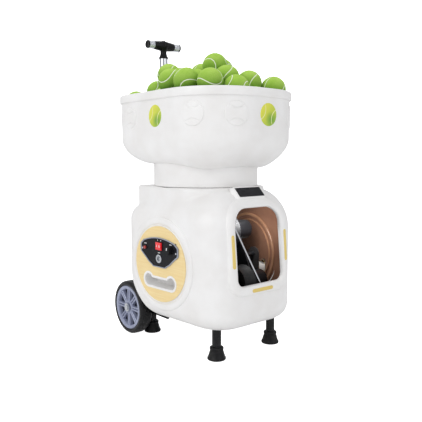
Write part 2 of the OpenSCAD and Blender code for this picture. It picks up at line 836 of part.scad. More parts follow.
module battery() {
    color("#2e3a46") {
        translate([-75.5, -17, floor_z + floor_t]) cube([151, 51, 94]);
        for (x = [-64, 58]) translate([x, 10, floor_z + floor_t + 94]) cube([6, 6, 5]);
    }
}
module control_box() {
    color("#2f5d3a") translate([-40, rear_y - wall - 30, 250]) cube([80, 30, 96]);
}

body_shell();
window_frame();
window_strips();
badge_plate();
bay_liner();
guard_rod();
side_disc(-1);  // side_disc_left
side_disc(1);  // side_disc_right
grip_cup(-1);  // grip_cup_left
grip_cup(1);  // grip_cup_right
panel_bezel();
control_panel();
rocker_switch();
pairing_button();
speed_knob();
charge_socket();
panel_screws();
base_plate();
leg(-1, foot_front_y);  // leg_front_left
leg(1, foot_front_y);  // leg_front_right
leg(-1, foot_rear_y);  // leg_rear_left
leg(1, foot_rear_y);  // leg_rear_right
foot(-1, foot_front_y);  // foot_front_left
foot(1, foot_front_y);  // foot_front_right
foot(-1, foot_rear_y);  // foot_rear_left
foot(1, foot_rear_y);  // foot_rear_right
axle();
axle_bracket(-1);  // axle_bracket_left
axle_bracket(1);  // axle_bracket_right
axle_collars();
wheel_rim(-1);  // wheel_rim_left
tyre(-1);  // tyre_left
hub_cap(-1);  // hub_cap_left
wheel_rim(1);  // wheel_rim_right
tyre(1);  // tyre_right
hub_cap(1);  // hub_cap_right
handle_outer_tube();
handle_clamps();
handle_inner_tube();
handle_tee();
grip_sleeves();
grip_end_caps();
release_button();
hopper();
feed_floor();
feed_wheel();
feed_motor();
ball_load();
drop_chute();
turntable();
yaw_motor();
yaw_pinion();
launcher_cradle();
throw_wheel(upper_z);  // throw_wheel_upper
throw_wheel(lower_z);  // throw_wheel_lower
wheel_motor(upper_z);  // wheel_motor_upper
wheel_motor(lower_z);  // wheel_motor_lower
battery();
control_box();
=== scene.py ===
# %% [markdown]
# # A tennis ball machine
# A wheeled, moulded plastic body throws balls out of a window at the front. A deep hopper full of
# balls stands on a round neck on its deck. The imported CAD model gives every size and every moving
# body, and this script dresses it: smooth mouldings, felt, rubber, chrome and printed plastic.

# %% Load the frame
import json
import math

import bmesh
import bpy
import numpy as np
from mathutils import Matrix, Vector

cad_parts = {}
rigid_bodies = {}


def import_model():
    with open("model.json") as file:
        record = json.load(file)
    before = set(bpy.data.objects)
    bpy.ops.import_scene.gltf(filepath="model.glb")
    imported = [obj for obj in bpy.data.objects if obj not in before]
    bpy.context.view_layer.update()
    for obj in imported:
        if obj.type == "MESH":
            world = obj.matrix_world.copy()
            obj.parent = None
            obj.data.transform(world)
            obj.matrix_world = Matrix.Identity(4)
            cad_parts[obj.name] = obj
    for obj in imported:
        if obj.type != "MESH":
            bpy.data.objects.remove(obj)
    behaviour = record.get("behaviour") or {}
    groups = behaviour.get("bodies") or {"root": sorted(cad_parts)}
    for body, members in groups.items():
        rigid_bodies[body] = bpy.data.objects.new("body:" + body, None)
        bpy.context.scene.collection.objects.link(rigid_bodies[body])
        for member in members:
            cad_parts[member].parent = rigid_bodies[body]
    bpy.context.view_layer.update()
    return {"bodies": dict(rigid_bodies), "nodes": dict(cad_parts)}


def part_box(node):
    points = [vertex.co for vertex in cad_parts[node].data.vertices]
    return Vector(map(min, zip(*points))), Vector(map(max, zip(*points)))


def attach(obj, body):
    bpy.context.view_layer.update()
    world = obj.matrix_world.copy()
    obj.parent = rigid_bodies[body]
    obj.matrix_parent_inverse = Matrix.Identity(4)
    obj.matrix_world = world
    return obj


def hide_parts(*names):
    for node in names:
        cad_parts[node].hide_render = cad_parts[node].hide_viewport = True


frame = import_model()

MM = 0.001
nodes = frame["nodes"]


# %% [markdown]
# ## Camera, floor and light
# A studio picture needs very little: a camera at eye height with a normal lens, a seamless pale
# sweep of floor, and big soft lamps. Large lamps give the white plastic its broad gentle shading,
# and a bright world keeps the shadows open.

# %% Camera
CAMERA_AT = (-0.990, -1.207, 0.530)
CAMERA_TILT, CAMERA_TURN = 84.0, -39.9
LENS, SENSOR = 46.66, 36.0


def place_camera():
    data = bpy.data.cameras.new("camera")
    data.sensor_width = SENSOR
    data.lens = LENS
    camera = bpy.data.objects.new("camera", data)
    camera.location = CAMERA_AT
    camera.rotation_euler = (math.radians(CAMERA_TILT), 0, math.radians(CAMERA_TURN))
    bpy.context.scene.collection.objects.link(camera)
    bpy.context.scene.camera = camera
    return camera


camera = place_camera()
print("camera", camera.location[:], camera.data.lens)


# %% Floor and lamps
def place_floor():
    """A floor that sweeps up behind the machine, square to the camera."""
    mesh = bpy.data.meshes.new("floor")
    reach, back, top, sweep = 9.0, 5.0, 7.0, 1.5
    steps = [(-reach, 0.0), (back - sweep, 0.0)]
    steps += [(back - sweep + sweep * math.sin(a), sweep - sweep * math.cos(a))
              for a in np.linspace(0.1, math.pi / 2, 12)]
    steps += [(back, top)]
    turn = Matrix.Rotation(math.radians(CAMERA_TURN), 3, "Z")
    verts = [turn @ Vector((x, y, z)) for y, z in steps for x in (-reach, reach)]
    faces = [(2 * k, 2 * k + 1, 2 * k + 3, 2 * k + 2) for k in range(len(steps) - 1)]
    mesh.from_pydata(verts, [], faces)
    mesh.polygons.foreach_set("use_smooth", [True] * len(faces))
    floor = bpy.data.objects.new("floor", mesh)
    bpy.context.scene.collection.objects.link(floor)
    return floor


def place_lamp(name, at, aim, size, power):
    data = bpy.data.lights.new(name, "AREA")
    data.shape = "RECTANGLE"
    data.size, data.size_y = size
    data.energy = power
    lamp = bpy.data.objects.new(name, data)
    lamp.location = at
    lamp.rotation_euler = (Vector(aim) - Vector(at)).to_track_quat("-Z", "Y").to_euler()
    bpy.context.scene.collection.objects.link(lamp)
    return lamp


LAMPS = [  # name, place, aim, size in metres, power in watts
    ("key_lamp", (-2.9, -0.3, 1.9), (0, 0, 0.45), (1.4, 1.6), 24),
    ("front_lamp", (0.4, -3.2, 1.5), (0, 0, 0.45), (1.8, 1.4), 12),
    ("top_lamp", (-0.2, 0.3, 3.0), (0, 0, 0.4), (1.8, 1.8), 12),
    ("bay_lamp", (0.02, -0.150, 0.372), (0.12, 0.02, 0.25), (0.05, 0.05), 0.35)]
WORLD_COLOUR, WORLD_STRENGTH = (0.97, 0.98, 1, 1), 0.66

floor = place_floor()
for lamp in LAMPS:
    place_lamp(*lamp)
world = bpy.data.worlds.new("studio")
bpy.context.scene.world = world
world.use_nodes = True
sky = world.node_tree.nodes["Background"]
sky.inputs["Color"].default_value = WORLD_COLOUR
sky.inputs["Strength"].default_value = WORLD_STRENGTH
bpy.context.scene.view_settings.view_transform = "Standard"


# %% [markdown]
# ## Shared finishes
# Nearly every surface here has a fine moulded grain and a little cloudiness. That effect is built
# once as a node group, and each material places it with its own scale. A second group makes dust,
# which gathers in patches and low down. Shaders stay in the materials themselves.

# %% Node helpers
def colour(code):
    """sRGB hex text to a linear RGBA value."""
    parts = [int(code[k:k + 2], 16) / 255 for k in (1, 3, 5)]
    return tuple(c / 12.92 if c <= 0.04045 else ((c + 0.055) / 1.055) ** 2.4 for c in parts) + (1.0,)


def wire(tree, node, takes):
    """Gives each named input of a node what it takes: another node's socket, or a value."""
    for key, value in takes.items():
        if isinstance(value, bpy.types.NodeSocket):
            tree.links.new(value, node.inputs[key])
        else:
            node.inputs[key].default_value = value


def add_node(tree, kind, x=0, y=0, takes=None, **settings):
    node = tree.nodes.new(kind)
    node.location = (x, y)
    for key, value in settings.items():
        setattr(node, key, value)
    wire(tree, node, takes or {})
    return node


def maths(tree, operation, first, second=0.0, x=0, y=0):
    """The result of a math node; first and second are sockets or numbers."""
    return add_node(tree, "ShaderNodeMath", x, y, {0: first, 1: second},
                    operation=operation).outputs[0]


def mix_colours(tree, factor, first, second, x=0, y=0):
    """A colour mix; first and second are sockets or RGBA values."""
    return add_node(tree, "ShaderNodeMix", x, y, {0: factor, 6: first, 7: second},
                    data_type="RGBA").outputs[2]


def spread(tree, value, low, high, to_low, to_high, x=0, y=0):
    """Maps a value from low..high to to_low..to_high, clamped."""
    return add_node(tree, "ShaderNodeMapRange", x, y,
                    dict(enumerate((value, low, high, to_low, to_high)))).outputs[0]


def add_sockets(tree, inputs, outputs):
    """Gives a tree its named sockets, each a type and maybe a first value."""
    for way, sockets in (("INPUT", inputs), ("OUTPUT", outputs)):
        for name, (kind, *first) in sockets.items():
            socket = tree.interface.new_socket(name, in_out=way, socket_type="NodeSocket" + kind)
            if first:
                socket.default_value = first[0]
    return (add_node(tree, "NodeGroupInput", -900).outputs,
            add_node(tree, "NodeGroupOutput", 600))


# %% Group: moulded grain
def grain_group():
    group = bpy.data.node_groups.new("moulded_grain", "ShaderNodeTree")
    given, made = add_sockets(group, {"Place": ("Vector",), "Fine scale": ("Float", 900.0),
                                      "Cloud scale": ("Float", 14.0)},
                              {"Fine": ("Float",), "Cloud": ("Float",)})
    for k, (name, detail) in enumerate((("Fine", 2.0), ("Cloud", 4.0))):
        noise = add_node(group, "ShaderNodeTexNoise", 0, -250 * k,
                         {"Vector": given["Place"], "Scale": given[name + " scale"],
                          "Detail": detail})
        wire(group, made, {name: noise.outputs[0]})
    return group


moulded_grain = grain_group()
print("group", moulded_grain.name)


# %% Group: dust and scuffs
def dust_group():
    group = bpy.data.node_groups.new("dust_patches", "ShaderNodeTree")
    given, made = add_sockets(group, {"Place": ("Vector",), "Top of dust": ("Float", 0.12),
                                      "Amount": ("Float", 0.3)}, {"Dust": ("Float",)})
    axes = add_node(group, "ShaderNodeSeparateXYZ", -400, 0, {0: given["Place"]})
    height = maths(group, "DIVIDE", axes.outputs[2], given["Top of dust"], -200)
    low = spread(group, height, 0.0, 1.0, 1.0, 0.0)
    noise = add_node(group, "ShaderNodeTexNoise", -200, -300,
                     {"Vector": given["Place"], "Scale": 38.0, "Detail": 6.0})
    patch = spread(group, noise.outputs[0], 0.42, 0.68, 0.0, 1.0, 0, -300)
    both = maths(group, "MULTIPLY", low, patch, 200)
    wire(group, made, {"Dust": maths(group, "MULTIPLY", both, given["Amount"], 400)})
    return group


dust_patches = dust_group()
print("group", dust_patches.name)


# %% A moulded or metal finish
GRAIN_DEPTH = 0.0004
DUST_COLOUR = colour("#B9B2A6")


def new_material(name):
    """A material, its tree and its shader."""
    material = bpy.data.materials.new(name)
    material.use_nodes = True
    tree = material.node_tree
    return material, tree, tree.nodes["Principled BSDF"]


def grain_of(tree, place, fine, cloud):
    """The outputs of the grain group at a place and two scales."""
    return add_node(tree, "ShaderNodeGroup", -750, 0,
                    {"Place": place, "Fine scale": fine, "Cloud scale": cloud},
                    node_tree=moulded_grain).outputs


def finish(name, light, dark, rough=(0.4, 0.5), metal=0.0, fine=900.0, cloud=14.0, bump=0.06,
           dust=0.0, coat=0.0, stretch=(1, 1, 1), shine=0.5):
    """A material from two near colours, with grain in its roughness and bump, and optional dust."""
    material, tree, shader = new_material(name)
    place = add_node(tree, "ShaderNodeTexCoord", -1100).outputs["Object"]
    mapping = add_node(tree, "ShaderNodeMapping", -950, 0, {0: place, "Scale": stretch})
    grain = grain_of(tree, mapping.outputs[0], fine, cloud)
    tint = spread(tree, grain["Cloud"], 0.35, 0.65, 0.0, 1.0, -550, 200)
    paint = mix_colours(tree, tint, colour(light), colour(dark), -350, 200)
    if dust:
        layer = add_node(tree, "ShaderNodeGroup", -550, 450, {"Place": place, "Amount": dust},
                         node_tree=dust_patches)
        paint = mix_colours(tree, layer.outputs["Dust"], paint, DUST_COLOUR, -150, 200)
    relief = add_node(tree, "ShaderNodeBump", -250, -250,
                      {"Strength": bump, "Distance": GRAIN_DEPTH, "Height": grain["Fine"]})
    wire(tree, shader, {
        "Base Color": paint, "Normal": relief.outputs[0], "Metallic": metal,
        "Roughness": spread(tree, grain["Fine"], 0.3, 0.7, *rough, -550, -50),
        "Coat Weight": coat, "Specular IOR Level": shine})
    return material


# %% The finishes of this machine
shell_plastic = finish("shell_plastic", "#F5F4F3", "#EFEDEB", (0.36, 0.46), fine=1100, bump=0.10,
                       coat=0.08, dust=0.15)
disc_plastic = finish("disc_plastic", "#F8E0A8", "#F3D798", (0.42, 0.55), fine=220, cloud=60,
                      bump=0.35, stretch=(0.25, 0.25, 6.0))
strip_plastic = finish("strip_plastic", "#EAD07C", "#E2C76E", (0.42, 0.55), fine=300, bump=0.1)
panel_plastic = finish("panel_plastic", "#1B1B20", "#131318", (0.38, 0.5), fine=1500, bump=0.25,
                       shine=0.2)
black_plastic = finish("black_plastic", "#18181B", "#101013", (0.30, 0.44), fine=1300, bump=0.15,
                       shine=0.2)
bezel_metal = finish("bezel_metal", "#AEB3C2", "#9CA1B2", (0.28, 0.38), metal=0.85, fine=700)
rim_metal = finish("rim_metal", "#A9AFC6", "#979DB6", (0.34, 0.46), metal=0.3, fine=1200,
                   coat=0.15)
rim_shadow = finish("rim_shadow", "#343848", "#262A38", (0.4, 0.5), metal=0.3, fine=1200)
bright_metal = finish("bright_metal", "#D9DBDF", "#C4C7CC", (0.14, 0.24), metal=1.0, fine=500,
                      stretch=(1, 1, 0.1))
chrome = finish("chrome", "#C6C8CD", "#AFB1B7", (0.06, 0.13), metal=1.0, fine=300, bump=0.02,
                stretch=(1, 1, 0.05))
steel_grey = finish("steel_grey", "#4A4C50", "#3C3E42", (0.30, 0.45), metal=0.9, fine=800)
tube_paint = finish("tube_paint", "#111114", "#0B0B0D", (0.22, 0.34), fine=900, coat=0.08,
                    shine=0.25)
foot_rubber = finish("foot_rubber", "#19191B", "#111113", (0.36, 0.50), fine=1300, bump=0.2,
                     dust=0.03, shine=0.2)
tyre_rubber = finish("tyre_rubber", "#131315", "#0B0B0D", (0.22, 0.34), fine=900, bump=0.10,
                     dust=0.02, coat=0.08, shine=0.25)
bay_plastic = finish("bay_plastic", "#8A6450", "#6B4A3A", (0.36, 0.50), fine=700, cloud=9,
                     bump=0.15)
# The rings' lighter brown is painted highlight on the bay's far wall.
ring_painted_highlight = finish("ring_painted_highlight", "#B08466", "#9A7054", (0.34, 0.46), fine=700, bump=0.1)
throw_rubber = finish("throw_rubber", "#1C1C1E", "#131315", (0.55, 0.75), fine=500, bump=0.5)
motor_paint = finish("motor_paint", "#1E1F22", "#141518", (0.28, 0.4), fine=900)
nylon_plastic = finish("nylon_plastic", "#2E2C2C", "#242222", (0.45, 0.6), fine=900, bump=0.15)
battery_case = finish("battery_case", "#3A4049", "#2D3239", (0.42, 0.55), fine=900)
rocker_lens = finish("rocker_lens", "#FF1A26", "#E80F1C", (0.16, 0.22), fine=400, bump=0.02,
                     coat=0.5)
lamp_lens = finish("lamp_lens", "#C8433C", "#A93630", (0.2, 0.3), fine=400, bump=0.02, coat=0.5)
white_print = finish("white_print", "#F4F4F4", "#E6E6E6", (0.4, 0.5), fine=900)
floor_paint = finish("floor_paint", "#FAFAFA", "#F7F7F7", (0.7, 0.8), fine=20, cloud=2, bump=0.0)
floor.data.materials.append(floor_paint)


def brighten(material, strength):
    """Lets the floor glow for the camera only, so it is white without lighting the machine."""
    tree = material.node_tree
    plain = tree.nodes["Principled BSDF"].outputs[0]
    glow = add_node(tree, "ShaderNodeEmission", 100, -200, {"Strength": strength})
    both = add_node(tree, "ShaderNodeAddShader", 300, -100, {0: plain, 1: glow.outputs[0]})
    rays = add_node(tree, "ShaderNodeLightPath", 300, 300)
    choose = add_node(tree, "ShaderNodeMixShader", 500, 0,
                      {0: rays.outputs["Is Camera Ray"], 1: plain, 2: both.outputs[0]})
    wire(tree, tree.nodes["Material Output"], {0: choose.outputs[0]})


brighten(floor_paint, 1.0)
print("finishes", len(bpy.data.materials))


# %% [markdown]
# ## Mesh helpers
# A few small tools make most pieces. A piece is a mesh that rides on one CAD body. A loft joins
# rings of points, for the shapes that change along their length. A lathe is a loft of circles, for
# feet, tyres and pads. Some pieces are a CAD node's own mesh, changed a little.

# %% Pieces
def body_of(node):
    """The name of the CAD body that carries a node."""
    return next(name for name, empty in frame["bodies"].items() if nodes[node].parent is empty)


def piece(name, verts, faces, body, material, slot, crease=35, fix=True):
    """A closed mesh, in metres, that rides on a body and takes the given finish. The slot is not
    used.
    """
    mesh = bpy.data.meshes.new(name)
    mesh.from_pydata([tuple(v) for v in verts], [], [tuple(f) for f in faces])
    shape = bpy.data.objects.new(name, mesh)
    bpy.context.scene.collection.objects.link(shape)
    if fix:
        work = bmesh.new()
        work.from_mesh(mesh)
        bmesh.ops.remove_doubles(work, verts=work.verts, dist=1e-6)
        bmesh.ops.dissolve_degenerate(work, edges=work.edges, dist=1e-7)
        bmesh.ops.recalc_face_normals(work, faces=work.faces)
        work.to_mesh(mesh)
        work.free()
    mesh.polygons.foreach_set("use_smooth", [True] * len(mesh.polygons))
    mesh.set_sharp_from_angle(angle=math.radians(crease))
    mesh.materials.append(material)
    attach(shape, body)
    return shape


def node_mesh(node):
    """A CAD node's points, in metres, and its faces."""
    points = np.array([node.matrix_world @ v.co for v in node.data.vertices])
    return points, [tuple(f.vertices) for f in node.data.polygons]


def join_parts(parts):
    """One (verts, faces) from several."""
    verts, faces = [], []
    for part_verts, part_faces in parts:
        start = len(verts)
        verts += [Vector(v) for v in part_verts]
        faces += [tuple(start + k for k in face) for face in part_faces]
    return verts, faces


def placed(part, matrix):
    """A (verts, faces) moved by a matrix."""
    return [matrix @ Vector(v) for v in part[0]], part[1]


# %% Lathe and loft
def loft(rings, close_rings=False, cap=False):
    """Faces between rings of equal length; a ring is a closed loop of points."""
    count = len(rings[0])
    verts = [p for ring in rings for p in ring]
    faces = []
    for k in range(len(rings) if close_rings else len(rings) - 1):
        a, b = k * count, (k + 1) % len(rings) * count
        faces += [(a + i, a + (i + 1) % count, b + (i + 1) % count, b + i) for i in range(count)]
    if cap:
        faces += [tuple(range(count))[::-1], tuple(len(verts) - count + i for i in range(count))]
    return verts, faces


def lathe(profile, steps=64, close_profile=False):
    """Turns (radius, height) points in millimetres about Z; a radius of 0 makes a pole."""
    angles = [2 * math.pi * i / steps for i in range(steps)]
    rings = [[(r * MM * math.cos(a), r * MM * math.sin(a), h * MM) for a in angles]
             for r, h in profile]
    return loft(rings, close_profile)


def rounded(corners, radii, steps=8):
    """A closed outline with its corners rounded. Points go anticlockwise."""
    corners = [np.array(c, float) for c in corners]
    made = []
    for k, here in enumerate(corners):
        before, after = corners[k - 1], corners[(k + 1) % len(corners)]
        u = (before - here) / np.linalg.norm(before - here)
        v = (after - here) / np.linalg.norm(after - here)
        half = math.acos(max(-1, min(1, float(u @ v)))) / 2
        radius = radii[k]
        if radius <= 0 or half > math.pi / 2 - 1e-3:
            made.append(here)
            continue
        middle = here + (u + v) / np.linalg.norm(u + v) * radius / math.sin(half)
        start = here + u * radius / math.tan(half) - middle
        end = here + v * radius / math.tan(half) - middle
        a0, a1 = math.atan2(start[1], start[0]), math.atan2(end[1], end[0])
        turn = (a1 - a0 + math.pi) % (2 * math.pi) - math.pi
        made += [middle + radius * np.array([math.cos(a0 + turn * t), math.sin(a0 + turn * t)])
                 for t in np.linspace(0, 1, steps + 1)]
    return np.array(made)


def even(outline, count):
    """The outline walked in equal steps."""
    loop = np.vstack([outline, outline[:1]])
    run = np.concatenate([[0], np.cumsum(np.linalg.norm(np.diff(loop, axis=0), axis=1))])
    at = np.linspace(0, run[-1], count, endpoint=False)
    return np.stack([np.interp(at, run, loop[:, k]) for k in (0, 1)], axis=1)


def outward(outline):
    """Unit normals that point out of an anticlockwise outline."""
    along = np.roll(outline, -1, axis=0) - np.roll(outline, 1, axis=0)
    normal = np.stack([along[:, 1], -along[:, 0]], axis=1)
    return normal / np.linalg.norm(normal, axis=1)[:, None]


# %% [markdown]
# ## The moulded body
# The real body is blown or rotationally moulded, so no edge on it is sharp. Bevelling a hard
# block would give every edge the same radius. Instead the form is the overlap of three outlines,
# its plan, its side and its front, joined by a soft maximum, and rays from the middle find where
# that form's surface lies. Each pair of outlines then meets in its own broad fillet.

# %% Outlines of the body
DECK, BELLY = 441.0, 78.0
SIDE_LEAN = math.radians(5.04)


def corner_arc(centre, radius, start, end, steps=14):
    return [(centre[0] + radius * math.cos(a), centre[1] + radius * math.sin(a))
            for a in np.radians(np.linspace(start, end, steps))]


right_half = corner_arc((57, -131), 100, -90, -5.04) + corner_arc((92, 95), 85, -5.04, 90)
plan_outline = np.array(right_half + [(-x, y) for x, y in right_half[::-1]])
side_outline = rounded(
    [(28, BELLY), (54, 92), (180, 215), (180, 384), (172, 438), (-164, 438), (-190, 416),
     (-206, 370), (-231, 125), (-231, BELLY)],
    [8, 18, 40, 20, 8, 8, 16, 60, 30, 44])
block_outline = rounded([(-145, -158), (145, -158), (145, 140), (-145, 140)],
                        [120, 120, 18, 18], 12)
print("outline points", len(plan_outline), len(side_outline), len(block_outline))


# %% Distance fields
def outline_distance(points, outline):
    """Distance from 2-D points to a closed outline, negative inside."""
    start = outline
    edge = np.roll(outline, -1, axis=0) - start
    keep = (edge ** 2).sum(1) > 1e-9
    start, edge = start[keep], edge[keep]
    best = np.full(len(points), 1e9)
    inside = np.zeros(len(points), bool)
    for a, e in zip(start, edge):
        w = points - a
        t = np.clip((w @ e) / (e @ e), 0, 1)
        best = np.minimum(best, ((w - t[:, None] * e) ** 2).sum(1))
        crosses = (a[1] > points[:, 1]) != (a[1] + e[1] > points[:, 1])
        if e[1]:
            inside ^= crosses & (w[:, 0] < e[0] * w[:, 1] / e[1])
    return np.sqrt(best) * np.where(inside, -1, 1)


def soft_max(a, b, radius):
    near = np.maximum(radius - np.abs(a - b), 0) / radius
    return np.maximum(a, b) + near * near * radius / 4


SHOULDER_Y = [-200, -52, 6, 70, 126, 180]
SHOULDER_TOP = [440, 446, 430, 411, 391, 384]
SHOULDER_ROUND = [110, 110, 100, 90, 50, 34]
BELLY_ROUND = 45.0


def plan_inset(points):
    """How far the plan draws in at each point: a broad dome above, a small round below."""
    top = np.interp(points[:, 1], SHOULDER_Y, SHOULDER_TOP)
    radius = np.interp(points[:, 1], SHOULDER_Y, SHOULDER_ROUND)
    rise = np.maximum(points[:, 2] - (top - radius), 0)
    dome = radius - np.sqrt(np.maximum(radius ** 2 - rise ** 2, 0))
    dome += np.maximum(rise - radius, 0) * 3
    drop = np.maximum(BELLY + BELLY_ROUND - points[:, 2], 0)
    dome += BELLY_ROUND - np.sqrt(np.maximum(BELLY_ROUND ** 2 - drop ** 2, 0))
    return dome


def body_field(points):
    """Negative inside the body, for points in millimetres."""
    plan = outline_distance(points[:, [0, 1]], plan_outline) + plan_inset(points)
    side = outline_distance(points[:, [1, 2]], side_outline)
    block = outline_distance(points[:, [0, 1]], block_outline)
    block = soft_max(soft_max(block, points[:, 2] - DECK + 0.4, 6), 200 - points[:, 2], 4)
    return -soft_max(-soft_max(plan, side, 14), -block, 5)


# %% Reaching the body's surface
HEART = np.array([0.0, 0.0, 250.0])
NECK_OPENING = 139.0
WINDOW = rounded([(-80, 196), (80, 196), (80, 391), (-80, 391)], [20, 20, 44, 44], 12)
PAD_CENTRE = (167.63, -15.0, 236.0)


def surface_at(count, inner, outer, points_at, steps=16):
    """Where many lines leave the body, by halving between a value inside and one outside."""
    inner, outer = np.full(count, inner), np.full(count, outer)
    for _ in range(steps):
        middle = (inner + outer) / 2
        inside = body_field(points_at(middle)) < 0
        inner, outer = np.where(inside, middle, inner), np.where(inside, outer, middle)
    return (inner + outer) / 2


def cast_out(aim):
    """How far along each direction from the heart the body's surface lies."""
    return surface_at(len(aim), 60.0, 420.0, lambda far: HEART + aim * far[:, None], 18)


def front_face_y(x, z):
    return surface_at(len(x), -60.0, -245.0, lambda y: np.stack([x, y, z], axis=1))


def side_wall_x(y, z):
    return surface_at(len(y), 60.0, 190.0, lambda x: np.stack([x, y, z], axis=1))


def directions(heights, around):
    """Unit vectors in rows, one row for each angle of height."""
    turns = np.linspace(0, 2 * math.pi, around, endpoint=False)
    up, turn = np.meshgrid(heights, turns, indexing="ij")
    return np.stack([np.cos(up) * np.cos(turn), np.cos(up) * np.sin(turn), np.sin(up)],
                    axis=-1).reshape(-1, 3)


def side_place(side, u, v, w):
    """A point of the left (-1) or right (1) side face: right, up and out from the pad's centre."""
    c, s = math.cos(SIDE_LEAN), math.sin(SIDE_LEAN)
    return Vector((side * (PAD_CENTRE[0] + w * c) + u * s, PAD_CENTRE[1] + side * u * c - w * s,
                   PAD_CENTRE[2] + v)) * MM


# %% The body's skin
def row_faces(rows, around, start=0):
    """Four-sided faces between rows of points that close on themselves."""
    faces = []
    for k in range(rows - 1):
        a, b = start + k * around, start + (k + 1) * around
        faces += [(a + i, a + (i + 1) % around, b + (i + 1) % around, b + i)
                  for i in range(around)]
    return faces


def build_body(around=288, up=116):
    """The skin from the middle of the belly up to the opening under the neck."""
    top = math.atan2(DECK - HEART[2], NECK_OPENING)
    aim = directions(np.linspace(-math.pi / 2, top, up + 1)[1:], around)
    skin = HEART + aim * cast_out(aim)[:, None]
    verts = [(0.0, 0.0, BELLY)] + [tuple(p) for p in skin]
    faces = [(0, 1 + (i + 1) % around, 1 + i) for i in range(around)]
    return np.array(verts), faces + row_faces(up, around, 1)


body_points, body_faces = build_body()
print("body skin", len(body_points), "points")


# %% Openings in the skin
def hidden_zone(points):
    """True for points of the skin that the window surround or a side pad covers."""
    in_window = (outline_distance(points[:, [0, 2]], WINDOW) < 9) & (points[:, 1] < 0)
    across = np.hypot((points[:, 1] - PAD_CENTRE[1]), points[:, 2] - PAD_CENTRE[2])
    in_pad = (across < 117) & (np.abs(points[:, 0]) > 140)
    return in_window | in_pad


SKIN_THICK = 3.5


def thicken(shape, thick):
    """Gives an open skin a wall, inwards, in millimetres."""
    wall = shape.modifiers.new("wall", "SOLIDIFY")
    wall.thickness = thick * MM
    wall.offset = -1


hidden = hidden_zone(body_points)
shown_faces = [f for f in body_faces if not all(hidden[k] for k in f)]
body_skin = piece("moulded_body", body_points * MM, shown_faces, "chassis", shell_plastic,
                  "shell_white", crease=60)
thicken(body_skin, SKIN_THICK)
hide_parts("body_shell")
print("body faces", len(body_skin.data.polygons))


# %% [markdown]
# ## The window surround
# A soft raised frame runs round the launch window. It is one cross-section carried along the
# window's outline, lying on the leaning front face and rolling back into the opening. Working out
# each point from the outline keeps the corners even, which a bevel on a cut-out would not.

# %% Window surround
def build_surround():
    outline = even(WINDOW, 220)
    normal = outward(outline)
    section = [(27, -1.5), (25.6, 1.6), (23.8, 4.6), (21.0, 6.8), (17, 7.9), (12, 8.2),
               (6, 7.8), (2.6, 6.4), (0.8, 4.0), (0.2, 1.0), (0.2, -3.0), (1.4, -5.0),
               (4.5, -5.6), (12, -5.5), (22, -5.0)]
    rings = []
    for out, proud in section:
        flat = outline + normal * out
        y = front_face_y(flat[:, 0], flat[:, 1])
        rings.append([(x * MM, (d - proud) * MM, z * MM) for (x, z), d in zip(flat, y)])
    return loft(rings, close_rings=True)


surround = piece("window_surround", *build_surround(), "chassis", shell_plastic, "shell_white",
                 crease=70)
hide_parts("window_frame")
print("surround", len(surround.data.polygons))


# %% Coloured strips on the surround
def build_strip(x, z, width, height):
    """A low rounded bar on the surround's crest."""
    corners = [(x - width / 2, z - height / 2), (x + width / 2, z - height / 2),
               (x + width / 2, z + height / 2), (x - width / 2, z + height / 2)]
    outline = even(rounded(corners, [min(width, height) / 2 - 0.3] * 4, 6), 72)
    rings = []
    for shrink, proud in ((0, 5.5), (0, 8.4), (0.5, 9.0), (1.4, 9.3), (2.6, 9.4)):
        inner = outline - outward(outline) * shrink
        y = front_face_y(inner[:, 0], inner[:, 1])
        rings.append([(a * MM, (d - proud) * MM, b * MM) for (a, b), d in zip(inner, y)])
    return loft(rings, cap=True)


STRIPS = [(-93, 287, 9.4, 84), (93, 287, 9.4, 84), (0, 182.3, 74, 9.4)]
strips = piece("surround_strips", *join_parts([build_strip(*strip) for strip in STRIPS]),
               "chassis", strip_plastic, "cream_trim")
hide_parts("window_strips")
print("strips", len(strips.data.polygons))


# %% [markdown]
# ## The bay's lining and the floor pan
# Behind the window is a dark bay. Its lining is the body's own form once more, a few millimetres
# smaller, so it can never break through the fillets of the skin. Only the part around the bay is
# kept, and the far wall shows the back of the other side's round pad as two raised rings. The
# steel pan under the bay is made in the same way, from the belly.

# %% Skins inside the body
def lining_zone(points):
    """True where the lining stays: round the bay, but not at the window, grips and controls."""
    x, y, z = points.T
    keep = ((y < 112) & (z > 105) & (z < 405) & ~((y > 40) & (z < 165))
            & ~((outline_distance(points[:, [0, 2]], WINDOW) < 6) & (y < 0)))
    for side in (-1, 1):
        grip = (np.abs(y - PAD_CENTRE[1]) < 70) & (np.abs(z - 189) < 24)
        keep &= ~(grip & (x * side > 120))
    controls = (x < -120) & (np.abs(y - PAD_CENTRE[1]) < 74) & (z > 232) & (z < 304)
    return keep & ~controls


def pan_zone(points):
    """True low in the belly and on its slope, where the floor pan lies."""
    y, z = points[:, 1], points[:, 2]
    return (z < np.maximum(98, 106 + (y - 54) * 0.976)) & (y < 160)


def inner_skin(name, inset, zone, thick, material, slot, around=200, up=96):
    """A skin a set distance inside the body's, where a zone keeps it."""
    aim = directions(np.linspace(-math.pi / 2, math.pi / 2, up + 2)[1:-1], around)
    points = HEART + aim * (cast_out(aim) - inset)[:, None]
    keep = zone(points)
    faces = [face for face in row_faces(up, around) if all(keep[k] for k in face)]
    made = piece(name, points * MM, faces, "chassis", material, slot, crease=50)
    work = bmesh.new()
    work.from_mesh(made.data)
    bmesh.ops.delete(work, geom=[v for v in work.verts if not v.link_faces], context="VERTS")
    work.to_mesh(made.data)
    work.free()
    thicken(made, thick)
    return made


floor_pan = inner_skin("floor_pan", 5.0, pan_zone, 2.5, steel_grey, "steel_plate")
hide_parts("base_plate")
lining = inner_skin("bay_lining", 9.0, lining_zone, 2.0, bay_plastic, "bay_brown")
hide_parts("bay_liner")
print("lining", len(lining.data.polygons))


